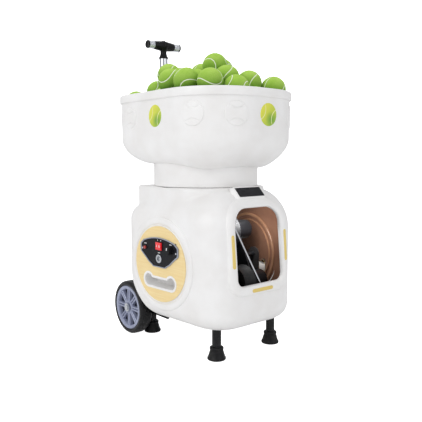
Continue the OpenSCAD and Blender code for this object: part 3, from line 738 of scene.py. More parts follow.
# %% Rings on the far wall
def wall_ring(radius, half):
    """A low rounded ring standing on the bay's lining, round the side pad's centre."""
    a = np.linspace(0, 2 * math.pi, 160, endpoint=False)
    rings = []
    for out, depth in ((1, 10), (0.85, 13), (0.4, 14.5), (-0.4, 14.5), (-0.85, 13), (-1, 10)):
        y = PAD_CENTRE[1] + (radius + out * half) * np.cos(a)
        z = PAD_CENTRE[2] + (radius + out * half) * np.sin(a)
        x = side_wall_x(y, z) - depth
        rings.append([tuple(np.array(p) * MM) for p in zip(x, y, z)])
    return loft(rings, close_rings=True)


# The rings take a lighter brown than the lining: painted highlight on the far wall's rings.
rings_made = piece("bay_rings", *join_parts([wall_ring(112, 4.5), wall_ring(96, 2.0)]),
                   "chassis", ring_painted_highlight, "bay_brown")
print("rings", len(rings_made.data.polygons))


# %% [markdown]
# ## Two CAD parts, drawn in
# The moulded form is rounder than the CAD's. The feeder's floor has a mounting ring and the axle's
# brackets have a front edge that would show past it, so these pieces are the CAD's meshes with
# that part drawn in.

# %% The feeder's floor and the axle's brackets
RING_LIMIT, RING_SHARE = 0.134, 0.25
BRACKET_LIMIT, BRACKET_SHARE = 0.040, 0.2


def drawn_in(points):
    """Brings everything past a radius closer to the axis."""
    reach = np.hypot(points[:, 0], points[:, 1])
    wanted = np.where(reach > RING_LIMIT, RING_LIMIT + (reach - RING_LIMIT) * RING_SHARE, reach)
    points[:, :2] *= (wanted / np.maximum(reach, 1e-6))[:, None]
    return points


def drawn_back(points):
    """Brings everything in front of a plane closer to it."""
    y = points[:, 1]
    points[:, 1] = np.where(y < BRACKET_LIMIT,
                            BRACKET_LIMIT + (y - BRACKET_LIMIT) * BRACKET_SHARE, y)
    return points


for name, node_name, change, material, slot in (
        ("feeder_floor", "feed_floor", drawn_in, nylon_plastic, "nylon"),
        ("short_bracket_left", "axle_bracket_left", drawn_back, black_plastic, "steel_plate"),
        ("short_bracket_right", "axle_bracket_right", drawn_back, black_plastic, "steel_plate")):
    points, faces = node_mesh(nodes[node_name])
    changed = piece(name, change(points), faces, body_of(node_name), material, slot)
    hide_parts(node_name)
    print(name, len(changed.data.polygons))


# %% [markdown]
# ## Round side pads
# Each side carries a big round pad: a soft raised ring, a groove, and a coloured disc inside it.
# The ring is a turned shape, so a lathe makes it, and it is stood on the slanting side face. The
# disc stays the CAD's own plate, with its cut-outs for the grip and the controls.

# %% Side pads
def on_side(side):
    """The matrix of a side face: right, up and out become X, Y and Z."""
    right = (side_place(side, 1, 0, 0) - side_place(side, 0, 0, 0)) / MM
    out = (side_place(side, 0, 0, 1) - side_place(side, 0, 0, 0)) / MM
    up = out.cross(right)
    turn = Matrix((right, up, out)).transposed().to_4x4()
    return Matrix.Translation(side_place(side, 0, 0, 0)) @ turn


PAD_SECTION = [(97, 2.3), (102.6, 2.3), (103.2, 1.2), (104.2, 0.7), (106.4, 0.7), (107.6, 1.3),
               (108.6, 3.0), (110.4, 3.9), (113, 4.0), (120, 4.0), (123.2, 3.4), (125.2, 2.0),
               (126, 0.4), (126, -9), (97, -9)]
for side, hand in ((-1, "left"), (1, "right")):
    pad = piece("side_pad_" + hand, *placed(lathe(PAD_SECTION, 160, close_profile=True),
                                            on_side(side)),
                "chassis", shell_plastic, "shell_white", crease=70)
    nodes["side_disc_" + hand].data.materials[0] = disc_plastic
    print(pad.name, len(pad.data.polygons))


# %% [markdown]
# ## Marks on the control panel
# The panel's printed marks are plain bars and rings, the kind any switch has. Printing is a layer
# with no thickness, and a texture would need an image, so each mark is a very thin solid that
# stands a fifth of a millimetre proud of the panel.

# %% Marks
def bar(x, y, width, height, low, high):
    """A thin slab with small chamfered corners, in millimetres."""
    c = min(width, height) * 0.25
    ring = [(x - width / 2 + c, y - height / 2), (x + width / 2 - c, y - height / 2),
            (x + width / 2, y - height / 2 + c), (x + width / 2, y + height / 2 - c),
            (x + width / 2 - c, y + height / 2), (x - width / 2 + c, y + height / 2),
            (x - width / 2, y + height / 2 - c), (x - width / 2, y - height / 2 + c)]
    return loft([[(a * MM, b * MM, h * MM) for a, b in ring] for h in (low, high)], cap=True)


def hoop(x, y, outer, inner, low, high, steps=32):
    turned = lathe([(outer, low), (outer, high), (inner, high), (inner, low)], steps, True)
    return placed(turned, Matrix.Translation((x * MM, y * MM, 0)))


def shift(x, y, z=0):
    """A move in millimetres."""
    return Matrix.Translation((x * MM, y * MM, z * MM))


PANEL_TOP, PRINT_HALF = 7.0, 0.2
PRINT = (PANEL_TOP - PRINT_HALF, PANEL_TOP + PRINT_HALF)
ROCKER_AT, KNOB_AT, SOCKET_AT = (0, 49, 3.8), (47, 42), (0, 15)
ROCKER_TILT = -7.0
LABELS = [(-57, 51.0), (47, 57.6), (0, 31.0)]
DASH_STEP = 3.3
PIN_RING = 3.4

printed = [bar(-5, 64.6, 2.2, 2.6, *PRINT), bar(8, 64.4, 3.4, 2.2, *PRINT)]
for x, y in LABELS:
    printed += [bar(x + step * DASH_STEP, y, 2.5, 2.6, *PRINT) for step in (-1, 0, 1)]
on_rocker = shift(*ROCKER_AT) @ Matrix.Rotation(math.radians(ROCKER_TILT), 4, "Y")
on_off = [bar(-6, 0, 1.6, 6, 6.2, 6.7), hoop(6, 0, 3.0, 1.9, 6.2, 6.7)]
socket_face = lathe([(0, 3.0), (6.5, 3.0), (6.5, 4.6), (5.8, 5.2), (0, 5.2)], 32)
pin = lathe([(0, 5.0), (1.3, 5.0), (1.3, 5.5), (1.0, 5.8), (0, 5.8)], 16)
pins = [placed(pin, shift(SOCKET_AT[0] + PIN_RING * math.cos(a),
                          SOCKET_AT[1] + PIN_RING * math.sin(a)))
        for a in np.radians([90, 210, 330])]
pointer = bar(0, 5.5, 2.4, 7.4, 20.4, 21.2)
for name, parts, place, body, material, slot in (
        ("panel_marks", printed, Matrix(), "chassis", white_print, "cream_trim"),
        ("rocker_marks", on_off, on_rocker, body_of("rocker_switch"), white_print, "cream_trim"),
        ("socket_insert", [socket_face], shift(*SOCKET_AT), "chassis", bright_metal,
         "bright_metal"),
        ("socket_pins", pins, Matrix(), "chassis", black_plastic, "black_plastic"),
        ("knob_pointer", [pointer], shift(*KNOB_AT), body_of("speed_knob"), white_print,
         "cream_trim")):
    piece(name, *placed(join_parts(parts), on_side(-1) @ place), body, material, slot)
    print(name, len(parts))


# %% [markdown]
# ## Repeats with Geometry Nodes
# Spokes and grip ribs are one small shape over and over. A Geometry Nodes tree does
# that: a line of points, each a step and a turn from the last, with the shape placed on each one.
# The result is realised and turned into a plain mesh, because a piece has to stand on its own.

# %% Tree: repeat with a step and a turn
def real_copies(tree, points, shape, turn):
    """A shape on every point, with its turn, made real."""
    copies = add_node(tree, "GeometryNodeInstanceOnPoints", -200, 100,
                      {"Points": points, "Instance": shape, "Rotation": turn})
    return add_node(tree, "GeometryNodeRealizeInstances", 0, 100,
                    {0: copies.outputs[0]}).outputs[0]


def paint_and_end(tree, made, shape, material):
    """Gives the shape its material and sends it out of the tree."""
    painted = add_node(tree, "GeometryNodeSetMaterial", 350, 100,
                       {"Geometry": shape, "Material": material})
    wire(tree, made, {0: painted.outputs[0]})


def repeat_tree():
    tree = bpy.data.node_groups.new("repeat_with_step_and_turn", "GeometryNodeTree")
    given, made = add_sockets(tree, {
        "Shape": ("Geometry",), "Count": ("Int",), "Step": ("Vector",), "Turn": ("Vector",),
        "Finish": ("Material",)}, {"Shape": ("Geometry",)})
    line = add_node(tree, "GeometryNodeMeshLine", -500, 200,
                    {"Count": given["Count"], "Offset": given["Step"]}, mode="OFFSET")
    index = add_node(tree, "GeometryNodeInputIndex", -700, -200)
    turn = add_node(tree, "ShaderNodeVectorMath", -500, -200,
                    {0: given["Turn"], "Scale": index.outputs[0]}, operation="SCALE")
    copies = real_copies(tree, line.outputs[0], given["Shape"], turn.outputs[0])
    paint_and_end(tree, made, copies, given["Finish"])
    return tree


repeat_steps = repeat_tree()
print("tree", repeat_steps.name)


# %% Run a tree and keep its mesh
def grown(name, part, tree, values, place, body, crease=35):
    """Runs a tree on a starting shape and turns the result into a piece."""
    mesh = bpy.data.meshes.new(name + "_seed")
    mesh.from_pydata([tuple(v) for v in part[0]], [], part[1])
    seed = bpy.data.objects.new(name + "_seed", mesh)
    bpy.context.scene.collection.objects.link(seed)
    modifier = seed.modifiers.new("tree", "NODES")
    modifier.node_group = tree
    for item in tree.interface.items_tree:
        if item.in_out == "INPUT" and item.name in values:
            modifier[item.identifier] = values[item.name]
    depsgraph = bpy.context.evaluated_depsgraph_get()
    made = bpy.data.meshes.new_from_object(seed.evaluated_get(depsgraph), depsgraph=depsgraph)
    made.name = name
    seed.modifiers.remove(modifier)
    bpy.data.objects.remove(seed)
    made.transform(place)
    made.polygons.foreach_set("use_smooth", [True] * len(made.polygons))
    made.set_sharp_from_angle(angle=math.radians(crease))
    shape = bpy.data.objects.new(name, made)
    bpy.context.scene.collection.objects.link(shape)
    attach(shape, body)
    return shape


# %% [markdown]
# ## Road wheels
# The wheels are glossy black tyres on pale metallic rims with eight spokes, each a pair of ribs.
# Tyre and rim are turned. One pair of ribs is drawn and the tree repeats it eight times.

# %% Wheel parts
TYRE_SECTION = [(64, -16.5), (66, -18.4), (70.5, -19), (74.6, -17.6), (77.2, -14), (77.9, -10),
                (78, -6.2), (77.2, -5.6), (77.2, -4.4), (78, -3.8), (78, 3.8), (77.2, 4.4),
                (77.2, 5.6), (78, 6.2), (77.9, 10), (77.2, 14), (74.6, 17.6), (70.5, 19),
                (66, 18.4), (64, 16.5)]
RIM_SECTION = [(55.2, -12), (57, -15), (60, -17), (64, -17), (64, 16.3), (62.8, 18.4),
               (59, 18.6), (55.0, 17.4), (53.4, 14.8), (53.2, 4.0), (55.2, 3.0)]
HUB_SECTION = [(6.3, -17), (16, -17), (18, -14), (20, 2), (21, 5.6), (21, 14.4), (19.6, 16.6),
               (16.8, 17.2), (14.8, 16.0), (13.6, 14.6), (6.3, 14.6)]
DISH_SECTION = [(19.5, 1), (55, 1), (55, 5.4), (19.5, 5.4)]


def rib_pair():
    """Two tapered ribs, the spoke's whole length, along X."""
    ribs = []
    for offset, splay in ((-3.5, -0.8), (3.5, 0.8)):
        rings = []
        for x, width, top in ((16.5, 5.4, 15.2), (26, 5.4, 14.8), (44, 5.6, 14.6),
                              (57.5, 6.6, 15.4)):
            y = offset + splay * (x - 16.5) / 41
            rings.append([(x * MM, (y + a) * MM, h * MM)
                          for a, h in ((-width * 0.6, 5.0), (width * 0.6, 5.0),
                                       (width * 0.42, top - 1.0), (width * 0.2, top),
                                       (-width * 0.2, top), (-width * 0.42, top - 1.0))])
        ribs.append(loft(rings, cap=True))
    return join_parts(ribs)


WHEEL_AT = (148, 163, 78)
SPOKES = 8
for side, hand in ((-1, "left"), (1, "right")):
    hub = shift(side * WHEEL_AT[0], *WHEEL_AT[1:]) @ Matrix.Rotation(side * math.pi / 2, 4, "Y")
    tyre = piece("wheel_tyre_" + hand, *placed(lathe(TYRE_SECTION, 128, True), hub),
                 "wheel_" + hand, tyre_rubber, "tyre_black", crease=50)
    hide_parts("tyre_" + hand)
    turned = join_parts([lathe(RIM_SECTION, 128, True), lathe(HUB_SECTION, 64, True)])
    rim = piece("wheel_rim_and_hub_" + hand, *placed(turned, hub), "wheel_" + hand, rim_metal,
                "rim_lavender", crease=40)
    # The dish behind the spokes is a dark sheet: painted shadow in the wheel's recess.
    piece("wheel_dish_" + hand, *placed(lathe(DISH_SECTION, 96, True), hub), "wheel_" + hand,
          rim_shadow, "rim_lavender", crease=40)
    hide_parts("wheel_rim_" + hand)
    spokes = grown("wheel_spokes_" + hand, rib_pair(), repeat_steps,
                   {"Count": SPOKES, "Turn": (0, 0, 2 * math.pi / SPOKES),
                    "Finish": rim_metal}, hub,
                   "wheel_" + hand)
    print(spokes.name, len(spokes.data.polygons))


# %% [markdown]
# ## Rubber feet
# The feet are cones of black rubber pushed over the legs, with a step and a bead at the top.
# They are round, so each is turned from the same section and stood where its leg is.

# %% Feet
FOOT_SECTION = [(0, 0), (21.5, 0), (23.8, 0.8), (24.5, 2.6), (24.2, 5.2), (22.6, 7.4),
                (20.4, 14), (18.2, 22), (17.0, 25.6), (17.0, 26.6), (17.9, 27.2), (18.3, 28.4),
                (18.3, 30.8), (17.6, 32.4), (16.0, 33.2), (14.6, 34.0), (12.3, 34.0),
                (12.3, 9), (0, 9)]
FOOT_X, FOOT_ROWS = 99, (("front", -164), ("rear", 132))
for end, y in FOOT_ROWS:
    for side, hand in ((-1, "left"), (1, "right")):
        spot = shift(side * FOOT_X, y)
        foot = piece(f"rubber_foot_{end}_{hand}", *placed(lathe(FOOT_SECTION, 72), spot),
                     "chassis", foot_rubber, "foot_rubber", crease=50)
        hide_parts(f"foot_{end}_{hand}")


# %% [markdown]
# ## The hopper
# The hopper is a deep bowl, rounded at the front, that draws in to a round neck. A line of rings
# makes it: each ring blends the bowl's outline with the neck's circle. The outer wall, the rolled
# lip and the inner wall are one closed skin, so the rim has real thickness. At the back the
# outline has a notch for the handle.

# %% Outline of the bowl
RIM_Z, TURN_Z, LOW_Z, NECK_R = 692.0, 570.0, 506.0, 147.0
bowl_corners = [(-180, -235), (180, -235), (180, 219), (20, 219), (20, 184), (-20, 184),
                (-20, 219), (-180, 219)]
bowl_outline = even(rounded(bowl_corners, [150, 150, 90, 5, 5, 5, 5, 90], 20), 420)
bowl_normal = outward(bowl_outline)
bowl_angle = np.arctan2(bowl_outline[:, 1], bowl_outline[:, 0])
print("bowl outline", len(bowl_outline), "points")


# %% Hopper skin
def bell(angle, centre, width):
    away = (np.degrees(angle) - centre + 180) % 360 - 180
    return np.exp(-(away / width) ** 2)


neck_dip = (bell(bowl_angle, -130, 26) + bell(bowl_angle, -50, 26)
            + 0.55 * bell(bowl_angle, -90, 30) + 0.4 * bell(bowl_angle, 130, 34)
            + 0.4 * bell(bowl_angle, 50, 34))


def hopper_ring(weight, z, out, bulge=0.0):
    """A ring between the neck's circle (weight 0) and the bowl's outline (weight 1)."""
    circle = (NECK_R + out) * np.stack([np.cos(bowl_angle), np.sin(bowl_angle)], axis=1)
    plan = bowl_outline + bowl_normal * out
    flat = circle + (plan - circle) * weight
    return np.column_stack([flat, z - bulge * neck_dip]) * MM


WALL = 4.0
NECK_RINGS = [(441.4, -1.4), (442.4, -0.3), (444, 0), (460, 0)]
LIP_RINGS = [(0.5, 669.6), (3.4, 670.0), (4.6, 670.8), (5.0, 672.6), (5.0, 678), (5.0, 685),
             (4.6, 688.6), (3.4, 691.0), (1.4, 692.0), (-1.2, 691.8), (-3.2, 690.4),
             (-4.0, 687.6), (-WALL, 676), (-WALL, 640), (-WALL, 600)]


def bowl_rings(angles, low_z, out):
    """Rings round the bowl's turn, from a quarter of an ellipse."""
    rings = []
    for a in angles:
        sweep = math.sin(a)
        rings.append(hopper_ring(math.cos(a) ** 1.05, TURN_Z - (TURN_Z - low_z) * sweep, out,
                                 14 * sweep ** 4))
    return rings


def build_hopper():
    """One closed skin: up the outside, over the lip and down the inside."""
    rings = [hopper_ring(0, z, out) for z, out in NECK_RINGS] + [hopper_ring(0, 476, 0, 3)]
    rings += bowl_rings([math.pi / 2 * (1 - k / 16) for k in range(17)], LOW_Z, 0)
    rings += [hopper_ring(1, z, 0) for z in (590, 612, 640, 660, 668.4)]
    rings += [hopper_ring(1, z, out) for out, z in LIP_RINGS]
    rings += bowl_rings([math.pi / 2 * k / 14 for k in range(15)], LOW_Z + 5, -WALL)
    rings += [hopper_ring(0, 474, -WALL), hopper_ring(0, 441.4, -WALL)]
    return loft([list(map(tuple, ring)) for ring in rings], close_rings=True)


hopper_skin = piece("hopper_moulding", *build_hopper(), "hopper", shell_plastic, "shell_white",
                    crease=60)
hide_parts("hopper")
print("hopper", len(hopper_skin.data.polygons))


# %% [markdown]
# ## Ball motifs round the hopper
# Round motifs decorate the bowl: some are moulded in relief with a ball's curved seams, and some
# are printed discs. A flat disc would leave a gap on the curved wall, so each one is a polar grid
# laid along the wall, pushed out by its own relief.

# %% Laying a disc on the wall
outline_run = np.concatenate([[0], np.cumsum(np.linalg.norm(
    np.diff(np.vstack([bowl_outline, bowl_outline[:1]]), axis=0), axis=1))])


def wall_point(run, z, out):
    """The hopper wall's point a distance along the outline, in millimetres."""
    at = np.mod(run, outline_run[-1])
    loop = np.vstack([bowl_outline, bowl_outline[:1]])
    lean = np.vstack([bowl_normal, bowl_normal[:1]])
    x, y = (np.interp(at, outline_run, loop[:, k]) for k in (0, 1))
    nx, ny = (np.interp(at, outline_run, lean[:, k]) for k in (0, 1))
    return np.stack([x + nx * out, y + ny * out, np.broadcast_to(z, x.shape)], axis=-1) * MM


def seam_distance(u, v, radius):
    """Distance from the two curved seams of a ball drawn on a disc, in millimetres."""
    best = np.full(u.shape, 1e9)
    for side in (-1, 1):
        centre = side * radius * 1.36
        best = np.minimum(best, np.abs(np.hypot(u, v - centre) - radius * 0.94))
    return best


MOTIF_Z = 627
MOULDED_R, PRINTED_R = 31.0, 28.6


def disc_grid(radius, turn, rings=26, steps=72):
    """A polar grid: flat coordinates, the same ones turned, and each point's radius."""
    r = radius * np.linspace(0, 1, rings) ** 0.8
    r[0] = 0.01
    a = np.linspace(0, 2 * math.pi, steps, endpoint=False)
    grid_r, grid_a = np.meshgrid(r, a, indexing="ij")
    u, v = grid_r * np.cos(grid_a), grid_r * np.sin(grid_a)
    return (u, v, u * math.cos(turn) - v * math.sin(turn),
            u * math.sin(turn) + v * math.cos(turn), grid_r)


def motif(run, radius, relief, turn):
    """A disc on the wall at a run along the outline; relief gives its height at each point."""
    u, v, cu, cv, grid_r = disc_grid(radius, turn)
    top = wall_point(run + u, MOTIF_Z + v, relief(cu, cv, grid_r))
    under = wall_point(run + u[::-1], MOTIF_Z + v[::-1], np.full(u.shape, -1.2))
    return loft([list(map(tuple, ring)) for ring in np.concatenate([top, under])])


def moulded_relief(cu, cv, r):
    dome = 2.0 * np.clip((30.8 - r) / 1.2, 0, 1) ** 0.6 + 0.4 * (1 - (r / MOULDED_R) ** 2)
    seam = np.clip(1 - seam_distance(cu, cv, MOULDED_R) / 1.9, 0, 1)
    return dome - 1.9 * seam


def printed_relief(cu, cv, r):
    return np.where(r > 28.3, 0.05, 0.35)


# %% Placing the motifs
MOTIF_RUNS = [(67, "moulded"), (177, "moulded"), (276, "printed"), (395, "moulded"),
              (505, "moulded"), (620, "printed"), (735, "moulded"), (845, "moulded"),
              (1180, "moulded"), (1288, "moulded"), (1409, "printed")]


def print_finish():
    """Printed ball motif: yellow-green, with darker shading and pale seams, from its own UV map."""
    material, tree, shader = new_material("printed_ball")
    place = add_node(tree, "ShaderNodeTexCoord", -1200).outputs["UV"]
    axes = add_node(tree, "ShaderNodeSeparateXYZ", -1000, 0, {0: place}).outputs
    slope = maths(tree, "SUBTRACT", axes[0], axes[1], -800)
    shade = spread(tree, slope, -0.5, 0.6, 0.0, 1.0, -600)
    paint = mix_colours(tree, shade, colour("#E2E24A"), colour("#A9C63A"), -400)
    away = add_node(tree, "ShaderNodeVectorMath", -800, -550,
                    {0: place, 1: (0.66, 0.30, 0.0)}, operation="DISTANCE")
    patch = spread(tree, away.outputs["Value"], 0.02, 0.36, 0.85, 0.0, -600, -550)
    paint = mix_colours(tree, patch, paint, colour("#4F9A2E"), -200)
    seams = add_node(tree, "ShaderNodeAttribute", -600, 300, attribute_name="seam")
    line = spread(tree, seams.outputs["Fac"], 0.8, 1.5, 1.0, 0.0, -400, 300)
    noise = add_node(tree, "ShaderNodeTexNoise", -800, -300, {"Vector": place, "Scale": 5.0})
    wire(tree, shader, {
        "Base Color": mix_colours(tree, line, paint, colour("#F1F0A8")),
        "Roughness": spread(tree, noise.outputs[0], 0.3, 0.7, 0.28, 0.4, -200, -300),
        "Coat Weight": 0.3})
    return material


def add_print_map(mesh, radius, turn):
    """Stores the seam's distance at each point, and a flat UV map, for the printed finish."""
    u, v, cu, cv, _ = disc_grid(radius, turn)
    near = np.tile(seam_distance(cu, cv, 29).ravel(), 2)
    seam = mesh.attributes.new("seam", "FLOAT", "POINT")
    seam.data.foreach_set("value", near.astype(np.float32))
    flat = np.tile(np.stack([u, v], axis=-1).reshape(-1, 2) / (2 * radius) + 0.5, (2, 1))
    corner = np.zeros(len(mesh.loops), np.int32)
    mesh.loops.foreach_get("vertex_index", corner)
    uv = mesh.uv_layers.new(name="disc")
    uv.data.foreach_set("uv", flat[corner].ravel().astype(np.float32))


printed_ball = print_finish()
MOTIF_KINDS = [("moulded", shell_plastic, moulded_relief, MOULDED_R, 0.0),
               ("printed", printed_ball, printed_relief, PRINTED_R, 1.9)]
for kind, material, relief, radius, turn in MOTIF_KINDS:
    runs = [run for run, kind_here in MOTIF_RUNS if kind_here == kind]
    for number, run in enumerate(runs, 1):
        disc = piece(f"{kind}_motif_{number}", *motif(run, radius, relief, turn), "hopper",
                     material, "shell_white", crease=50, fix=False)
        if kind == "printed":
            add_print_map(disc.data, radius, turn)
print("motifs", len(MOTIF_RUNS))


# %% [markdown]
# ## A heap of balls
# The hopper is heaped with balls. Placing them by eye never looks right, and a physics run in
# Blender is slow to repeat. This small solver drops them instead: each step lowers every ball a
# little, then pushes apart any two that overlap and pushes back any that press on the bowl, the
# feeder's floor or the handle. A fixed seed gives the same heap each time.

# %% The container
BALL_R = 33.5
FEED_TOP = 503.0
TUBE = np.array([0.0, 204.0])
order = np.argsort(bowl_angle)
plan_angle = bowl_angle[order]
plan_reach = np.hypot(*(bowl_outline - bowl_normal * 4.0).T)[order]


def wall_reach(points):
    """How far the bowl's inner wall is from the neck's axis, in each ball's direction."""
    angle = np.arctan2(points[:, 1], points[:, 0])
    plan = np.interp(angle, plan_angle, plan_reach, period=2 * math.pi)
    depth = np.clip((TURN_Z - points[:, 2]) / (TURN_Z - LOW_Z - 5), 0, 1)
    blend = np.sqrt(1 - depth ** 2)
    return NECK_R - 4 + (plan - NECK_R + 4) * blend


def wall_push(points):
    """Moves balls that press on the wall back inside it."""
    step = 0.5
    gap = wall_reach(points) - np.hypot(points[:, 0], points[:, 1])
    slope = np.stack([
        (wall_reach(points + np.eye(3)[k] * step)
         - np.hypot(*(points + np.eye(3)[k] * step)[:, :2].T) - gap) / step
        for k in range(3)], axis=1)
    size = np.linalg.norm(slope, axis=1)
    short = BALL_R + 0.6 - gap / size
    return np.where((short > 0)[:, None], slope / size[:, None] * short[:, None], 0)


def handle_push(points):
    """Keeps balls off the notch for the handle and off the handle's tube."""
    notch_x, notch_y = 20 + 4 + BALL_R + 0.6, 184 - 4 - BALL_R - 0.6
    deep_x = notch_x - np.abs(points[:, 0])
    deep_y = points[:, 1] - notch_y
    corner = (deep_x > 0) & (deep_y > 0) & (points[:, 2] < RIM_Z + 10)
    move = np.zeros_like(points)
    by_y = deep_y < deep_x
    move[:, 1] -= np.where(corner & by_y, deep_y, 0)
    move[:, 0] += np.where(corner & ~by_y, deep_x * np.sign(points[:, 0] + 1e-9), 0)
    away = points[:, :2] - TUBE
    gap = np.linalg.norm(away, axis=1)
    short = np.maximum(BALL_R + 17.0 - gap, 0)
    move[:, :2] += away / gap[:, None] * short[:, None]
    return move


# %% Where the balls start
PITCH, LAYER_RISE, FIRST_LAYER = 69.5, 58, FEED_TOP + 38
SHAKE = 3.0


def loose_stack(count):
    """Balls in open layers that fit the bowl and narrow towards the top."""
    start = []
    for layer in range(12):
        reach = 1.0 if layer < 5 else 1.0 - 0.16 * (layer - 4)
        for i in range(-3, 4):
            for j in range(-4, 5):
                x = (i + 0.5 * (j % 2) + 0.5 * (layer % 2)) * PITCH
                y = (j * 0.87 + 0.29 * (layer % 2) - 0.12) * PITCH
                if (x / (150 * reach)) ** 2 + (y / (200 * reach)) ** 2 < 1.05:
                    start.append((x, y, FIRST_LAYER + layer * LAYER_RISE))
    return np.array(start[:count])


# %% Dropping the balls
def drop_balls(count=150, steps=520, seed=11):
    """Lowers the balls step by step, slower at the end, and pushes them apart each time."""
    random = np.random.default_rng(seed)
    start = loose_stack(count)
    points = start + random.uniform(-SHAKE, SHAKE, start.shape)
    first, second = np.triu_indices(len(points), 1)
    for step in range(steps):
        fall = 1.6 if step < steps * 0.7 else 0.35
        points[:, 2] -= fall
        for _ in range(3):
            apart = points[first] - points[second]
            gap = np.linalg.norm(apart, axis=1)
            close = gap < 2 * BALL_R + 0.3
            push = apart[close] / gap[close, None] * ((2 * BALL_R + 0.3 - gap[close]) / 2)[:, None]
            np.add.at(points, first[close], push)
            np.add.at(points, second[close], -push)
            points += wall_push(points)
            points += handle_push(points)
            points[:, 2] = np.maximum(points[:, 2], FEED_TOP + BALL_R)
    return points


def heap_top(points):
    """How high the load may stand at each point: a low dome, highest in the middle."""
    return 808 - 85 * (points[:, 0] / 185) ** 2 - 60 * (points[:, 1] / 235) ** 2


def under_grip(points):
    """True for balls that would meet the handle's grip when the load lifts."""
    return (np.abs(points[:, 0]) < 92) & (points[:, 1] > 136)


heap = drop_balls()
heap = heap[(heap[:, 2] + BALL_R < heap_top(heap)) & ~under_grip(heap)]
apart = np.linalg.norm(heap[:, None] - heap[None], axis=2) + np.eye(len(heap)) * 999
print("balls", len(heap), "top", round(heap[:, 2].max() + BALL_R, 1), "closest",
      round(apart.min(), 2))


# %% [markdown]
# ## Felt and seams
# A tennis ball's seam is one closed curve. On a ball of radius one it is where z cubed equals
# 5.196 times x times y. The distance to that curve is stored at each point of a low ball, so
# the material can draw a thin pale line that stays sharp, and the heap stays light.

# %% One ball
def seam_curve(steps=400):
    t = np.linspace(0, 2 * math.pi, steps, endpoint=False)
    return np.stack([np.cos(t) ** 3, np.sin(t) ** 3, math.sqrt(3) * np.sin(t) * np.cos(t)], axis=1)


def ball_object():
    work = bmesh.new()
    bmesh.ops.create_icosphere(work, subdivisions=3, radius=BALL_R * MM)
    mesh = bpy.data.meshes.new("felt_ball")
    work.to_mesh(mesh)
    work.free()
    points = np.array([v.co for v in mesh.vertices])
    unit = points / np.linalg.norm(points, axis=1)[:, None]
    curve = seam_curve()
    curve /= np.linalg.norm(curve, axis=1)[:, None]
    near = np.arccos(np.clip(unit @ curve.T, -1, 1)).min(1) * BALL_R
    near *= np.sign(unit[:, 2] ** 3 - 3 * math.sqrt(3) * unit[:, 0] * unit[:, 1])
    seam = mesh.attributes.new("seam", "FLOAT", "POINT")
    seam.data.foreach_set("value", near.astype(np.float32))
    shape = bpy.data.objects.new("felt_ball", mesh)
    bpy.context.scene.collection.objects.link(shape)
    return shape


def felt_finish():
    """Felt with a pale seam, and painted shade that darkens it where the ball's surface turns down.
    """
    material, tree, shader = new_material("ball_felt")
    place = add_node(tree, "ShaderNodeTexCoord", -1200)
    grain = grain_of(tree, place.outputs["Object"], 520.0, 26.0)
    cloud = spread(tree, grain["Cloud"], 0.35, 0.65, 0.0, 1.0, -700, 200)
    felt = mix_colours(tree, cloud, colour("#BCDD66"), colour("#A8D04E"), -500, 200)
    fuzz = spread(tree, grain["Fine"], 0.35, 0.65, 0.0, 0.35, -700, 0)
    felt = mix_colours(tree, fuzz, felt, colour("#8CBA3A"), -300, 200)
    # Painted shade: the felt turns deep green where the stored normal points down.
    facing = add_node(tree, "ShaderNodeAttribute", -700, 800, attribute_name="facing")
    painted_light_from_above = spread(tree, facing.outputs["Fac"], -0.6, 0.8, 0.0, 1.0, -500, 800)
    felt = mix_colours(tree, painted_light_from_above, colour("#5C8E1C"), felt, -200, 500)
    seam = add_node(tree, "ShaderNodeAttribute", -700, 500, attribute_name="seam")
    near = maths(tree, "ABSOLUTE", seam.outputs["Fac"], x=-600, y=650)
    line = spread(tree, near, 0.8, 1.4, 1.0, 0.0, -450, 500)
    groove = spread(tree, near, 0.8, 3.0, -0.8, 0.0, -500, -300)
    height = maths(tree, "ADD", grain["Fine"], groove, -300, -300)
    relief = add_node(tree, "ShaderNodeBump", -100, -300,
                      {"Strength": 0.7, "Distance": 0.0012, "Height": height})
    wire(tree, shader, {
        "Base Color": mix_colours(tree, line, felt, colour("#EEF3DC"), -100, 200),
        "Roughness": spread(tree, grain["Fine"], 0.3, 0.7, 0.85, 0.98, -300, -50),
        "Normal": relief.outputs[0], "Sheen Weight": 0.25, "Sheen Roughness": 0.5,
        "Sheen Tint": colour("#C8E870")})
    return material


ball_felt = felt_finish()
print("felt", ball_felt.name)


# %% Tree: one ball on each point
def heap_tree():
    tree = bpy.data.node_groups.new("ball_on_each_point", "GeometryNodeTree")
    given, made = add_sockets(tree, {
        "Points": ("Geometry",), "Ball": ("Object",), "Seed": ("Int", 5),
        "Finish": ("Material",)}, {"Balls": ("Geometry",)})
    ball = add_node(tree, "GeometryNodeObjectInfo", -600, -100, {"Object": given["Ball"]})
    turn = add_node(tree, "FunctionNodeRandomValue", -600, -400,
                    {1: (2 * math.pi,) * 3, "Seed": given["Seed"]}, data_type="FLOAT_VECTOR")
    heaped = real_copies(tree, given["Points"], ball.outputs["Geometry"], turn.outputs[0])
    # Each point's normal height is stored as facing, for the felt's painted shade on the balls'
    # undersides.
    normal = add_node(tree, "GeometryNodeInputNormal", -250, -300)
    axes = add_node(tree, "ShaderNodeSeparateXYZ", -50, -300, {0: normal.outputs[0]})
    marked = add_node(tree, "GeometryNodeStoreNamedAttribute", 130, 100,
                      {"Geometry": heaped, "Name": "facing", "Value": axes.outputs["Z"]},
                      data_type="FLOAT", domain="POINT")
    paint_and_end(tree, made, marked.outputs[0], given["Finish"])
    return tree


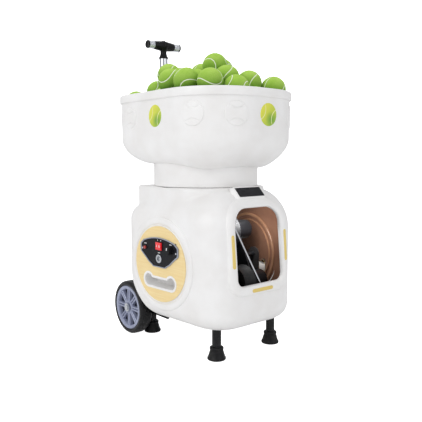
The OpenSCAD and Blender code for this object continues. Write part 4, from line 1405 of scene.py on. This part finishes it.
pattern_ball = ball_object()
balls = grown("heap_of_balls", ([tuple(p) for p in heap * MM], []), heap_tree(),
              {"Ball": pattern_ball, "Seed": 5, "Finish": ball_felt}, Matrix(), "balls",
              crease=180)
bpy.data.objects.remove(pattern_ball)
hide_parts("ball_load")
print("ball triangles", len(balls.data.polygons))


# %% [markdown]
# ## Handle grip
# The pull-up handle ends in a black cross grip with bright ribbed sleeves. Ribs that follow a
# straight line are the repeat tree again, this time with a step and no turn. The CAD's tube stays
# and only gets its finish.

# %% Cross grip
GRIP_Y, GRIP_Z = 204.0, 856.0
CAP_AT, SLEEVE_AT = 54.4, 36.1
GRIP_SECTION = [(0, -36), (10.4, -36), (11.6, -34.6), (12.4, -28), (13.6, -18), (14.6, -8),
                (14.8, 0), (14.6, 8), (13.6, 18), (12.4, 28), (11.6, 34.6), (10.4, 36), (0, 36)]
CAP_SECTION = [(0, 0), (11.2, 0), (11.8, 1.0), (11.8, 3.4), (10.6, 4.6), (7.0, 4.0), (5.0, 3.0),
               (0, 3.0)]
button_low, button_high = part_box("release_button")
bore = (button_high[0] - button_low[0]) / 2 / MM + 0.3
NECK_SECTION = [(bore, 867.6), (14.0, 867.6), (16.4, 866.0), (17.0, 862.0), (16.6, 852.0),
                (13.0, 846.0), (9.6, 841.0), (9.2, 834.0), (11.2, 827.0), (13.6, 823.0),
                (13.8, 818.2), (bore, 818.2)]
along_x = shift(0, GRIP_Y, GRIP_Z) @ Matrix.Rotation(math.pi / 2, 4, "Y")
turned_over = Matrix.Rotation(math.pi, 4, "X")
upright = shift(0, GRIP_Y)
piece("cross_grip", *placed(lathe(GRIP_SECTION, 64), along_x), "handle", black_plastic,
      "black_plastic", crease=50)
neck = piece("grip_neck", *placed(lathe(NECK_SECTION, 64, True), upright), "handle",
             black_plastic, "black_plastic", crease=50)
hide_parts("handle_tee")
cap = placed(lathe(CAP_SECTION, 48), shift(0, 0, CAP_AT))
caps = join_parts([placed(cap, along_x), placed(cap, along_x @ turned_over)])
end_caps = piece("grip_caps", *caps, "handle", black_plastic, "black_plastic", crease=40)
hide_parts("grip_end_caps")
print("grip bore", round(bore, 2))


# %% Ribbed sleeves
RIB_PITCH, RIBS = 2.6, 7


def rib_ring():
    """One rib of a sleeve and its groove, turned about Z."""
    return lathe([(9.4, 0), (10.8, 0), (11.0, 0.3), (11.5, 0.7), (11.5, 1.9), (11.0, 2.3),
                  (10.8, RIB_PITCH), (9.4, RIB_PITCH)], 48, True)


for facing, hand in ((Matrix(), "right"), (turned_over, "left")):
    spot = along_x @ facing @ shift(0, 0, SLEEVE_AT)
    sleeve = grown("ribbed_sleeve_" + hand, rib_ring(), repeat_steps,
                   {"Count": RIBS, "Step": (0, 0, RIB_PITCH * MM), "Finish": bright_metal}, spot,
                   "handle")
    print(sleeve.name, len(sleeve.data.polygons))
    if hand == "left":
        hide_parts("grip_sleeves")


# %% [markdown]
# ## Badge seat
# Above the window a plain black badge lies on a sloping seat with a soft white border. The seat is
# a rounded slab, drawn flat and tipped to the badge's slope, and it sinks into the body behind.

# %% Badge seat
def badge_seat():
    outline = even(rounded([(-49, -4.5), (49, -4.5), (49, 35), (-49, 35)], [6] * 4, 6), 96)
    rings = []
    for shrink, height in ((-6, -9), (-3, -4.5), (-0.8, -1.0), (0, 0.4), (1.2, 1.3), (3.4, 1.5),
                           (4.3, 1.2), (4.5, 0.2)):
        flat = outline - outward(outline) * shrink
        rings.append([(x * MM, y * MM, height * MM) for x, y in flat])
    return loft(rings, cap=True)


FACET_LOW, FACET_HIGH = (-191, 419), (-169, DECK)
slope = math.atan2(FACET_HIGH[1] - FACET_LOW[1], FACET_HIGH[0] - FACET_LOW[0])
seat_place = shift(0, *FACET_LOW) @ Matrix.Rotation(slope, 4, "X")
seat = piece("badge_seat", *placed(badge_seat(), seat_place), "chassis", shell_plastic,
             "shell_white", crease=50)
print("badge seat", len(seat.data.polygons))


# %% [markdown]
# ## Finishes on the CAD's own parts
# Many parts are already the right shape in the CAD: the motors, brackets, tubes and throw wheels.
# They keep their meshes, and each gets the finish of what it is made of.

# %% Paint the CAD nodes
FINISHED_NODES = [
    (("badge_plate", "control_panel"), panel_plastic),
    (("panel_bezel",), bezel_metal),
    (("grip_cup_left", "grip_cup_right"), shell_plastic),
    (("rocker_switch",), rocker_lens),
    (("pairing_button",), lamp_lens),
    (("speed_knob", "release_button", "handle_clamps", "control_box", "drop_chute", "feed_motor",
      "yaw_motor"), black_plastic),
    (("charge_socket", "panel_screws", "hub_cap_left", "hub_cap_right", "guard_rod"),
     bright_metal),
    (("axle", "axle_collars", "launcher_cradle"), steel_grey),
    (("leg_front_left", "leg_front_right", "leg_rear_left", "leg_rear_right",
      "handle_outer_tube"), tube_paint),
    (("handle_inner_tube",), chrome),
    (("feed_wheel", "turntable", "yaw_pinion"), nylon_plastic),
    (("throw_wheel_upper", "throw_wheel_lower"), throw_rubber),
    (("wheel_motor_upper", "wheel_motor_lower"), motor_paint),
    (("battery",), battery_case)]
for names, material in FINISHED_NODES:
    for name in names:
        slots = nodes[name].data.materials
        for k in range(len(slots)):
            slots[k] = material
print("painted", sum(len(names) for names, _ in FINISHED_NODES))
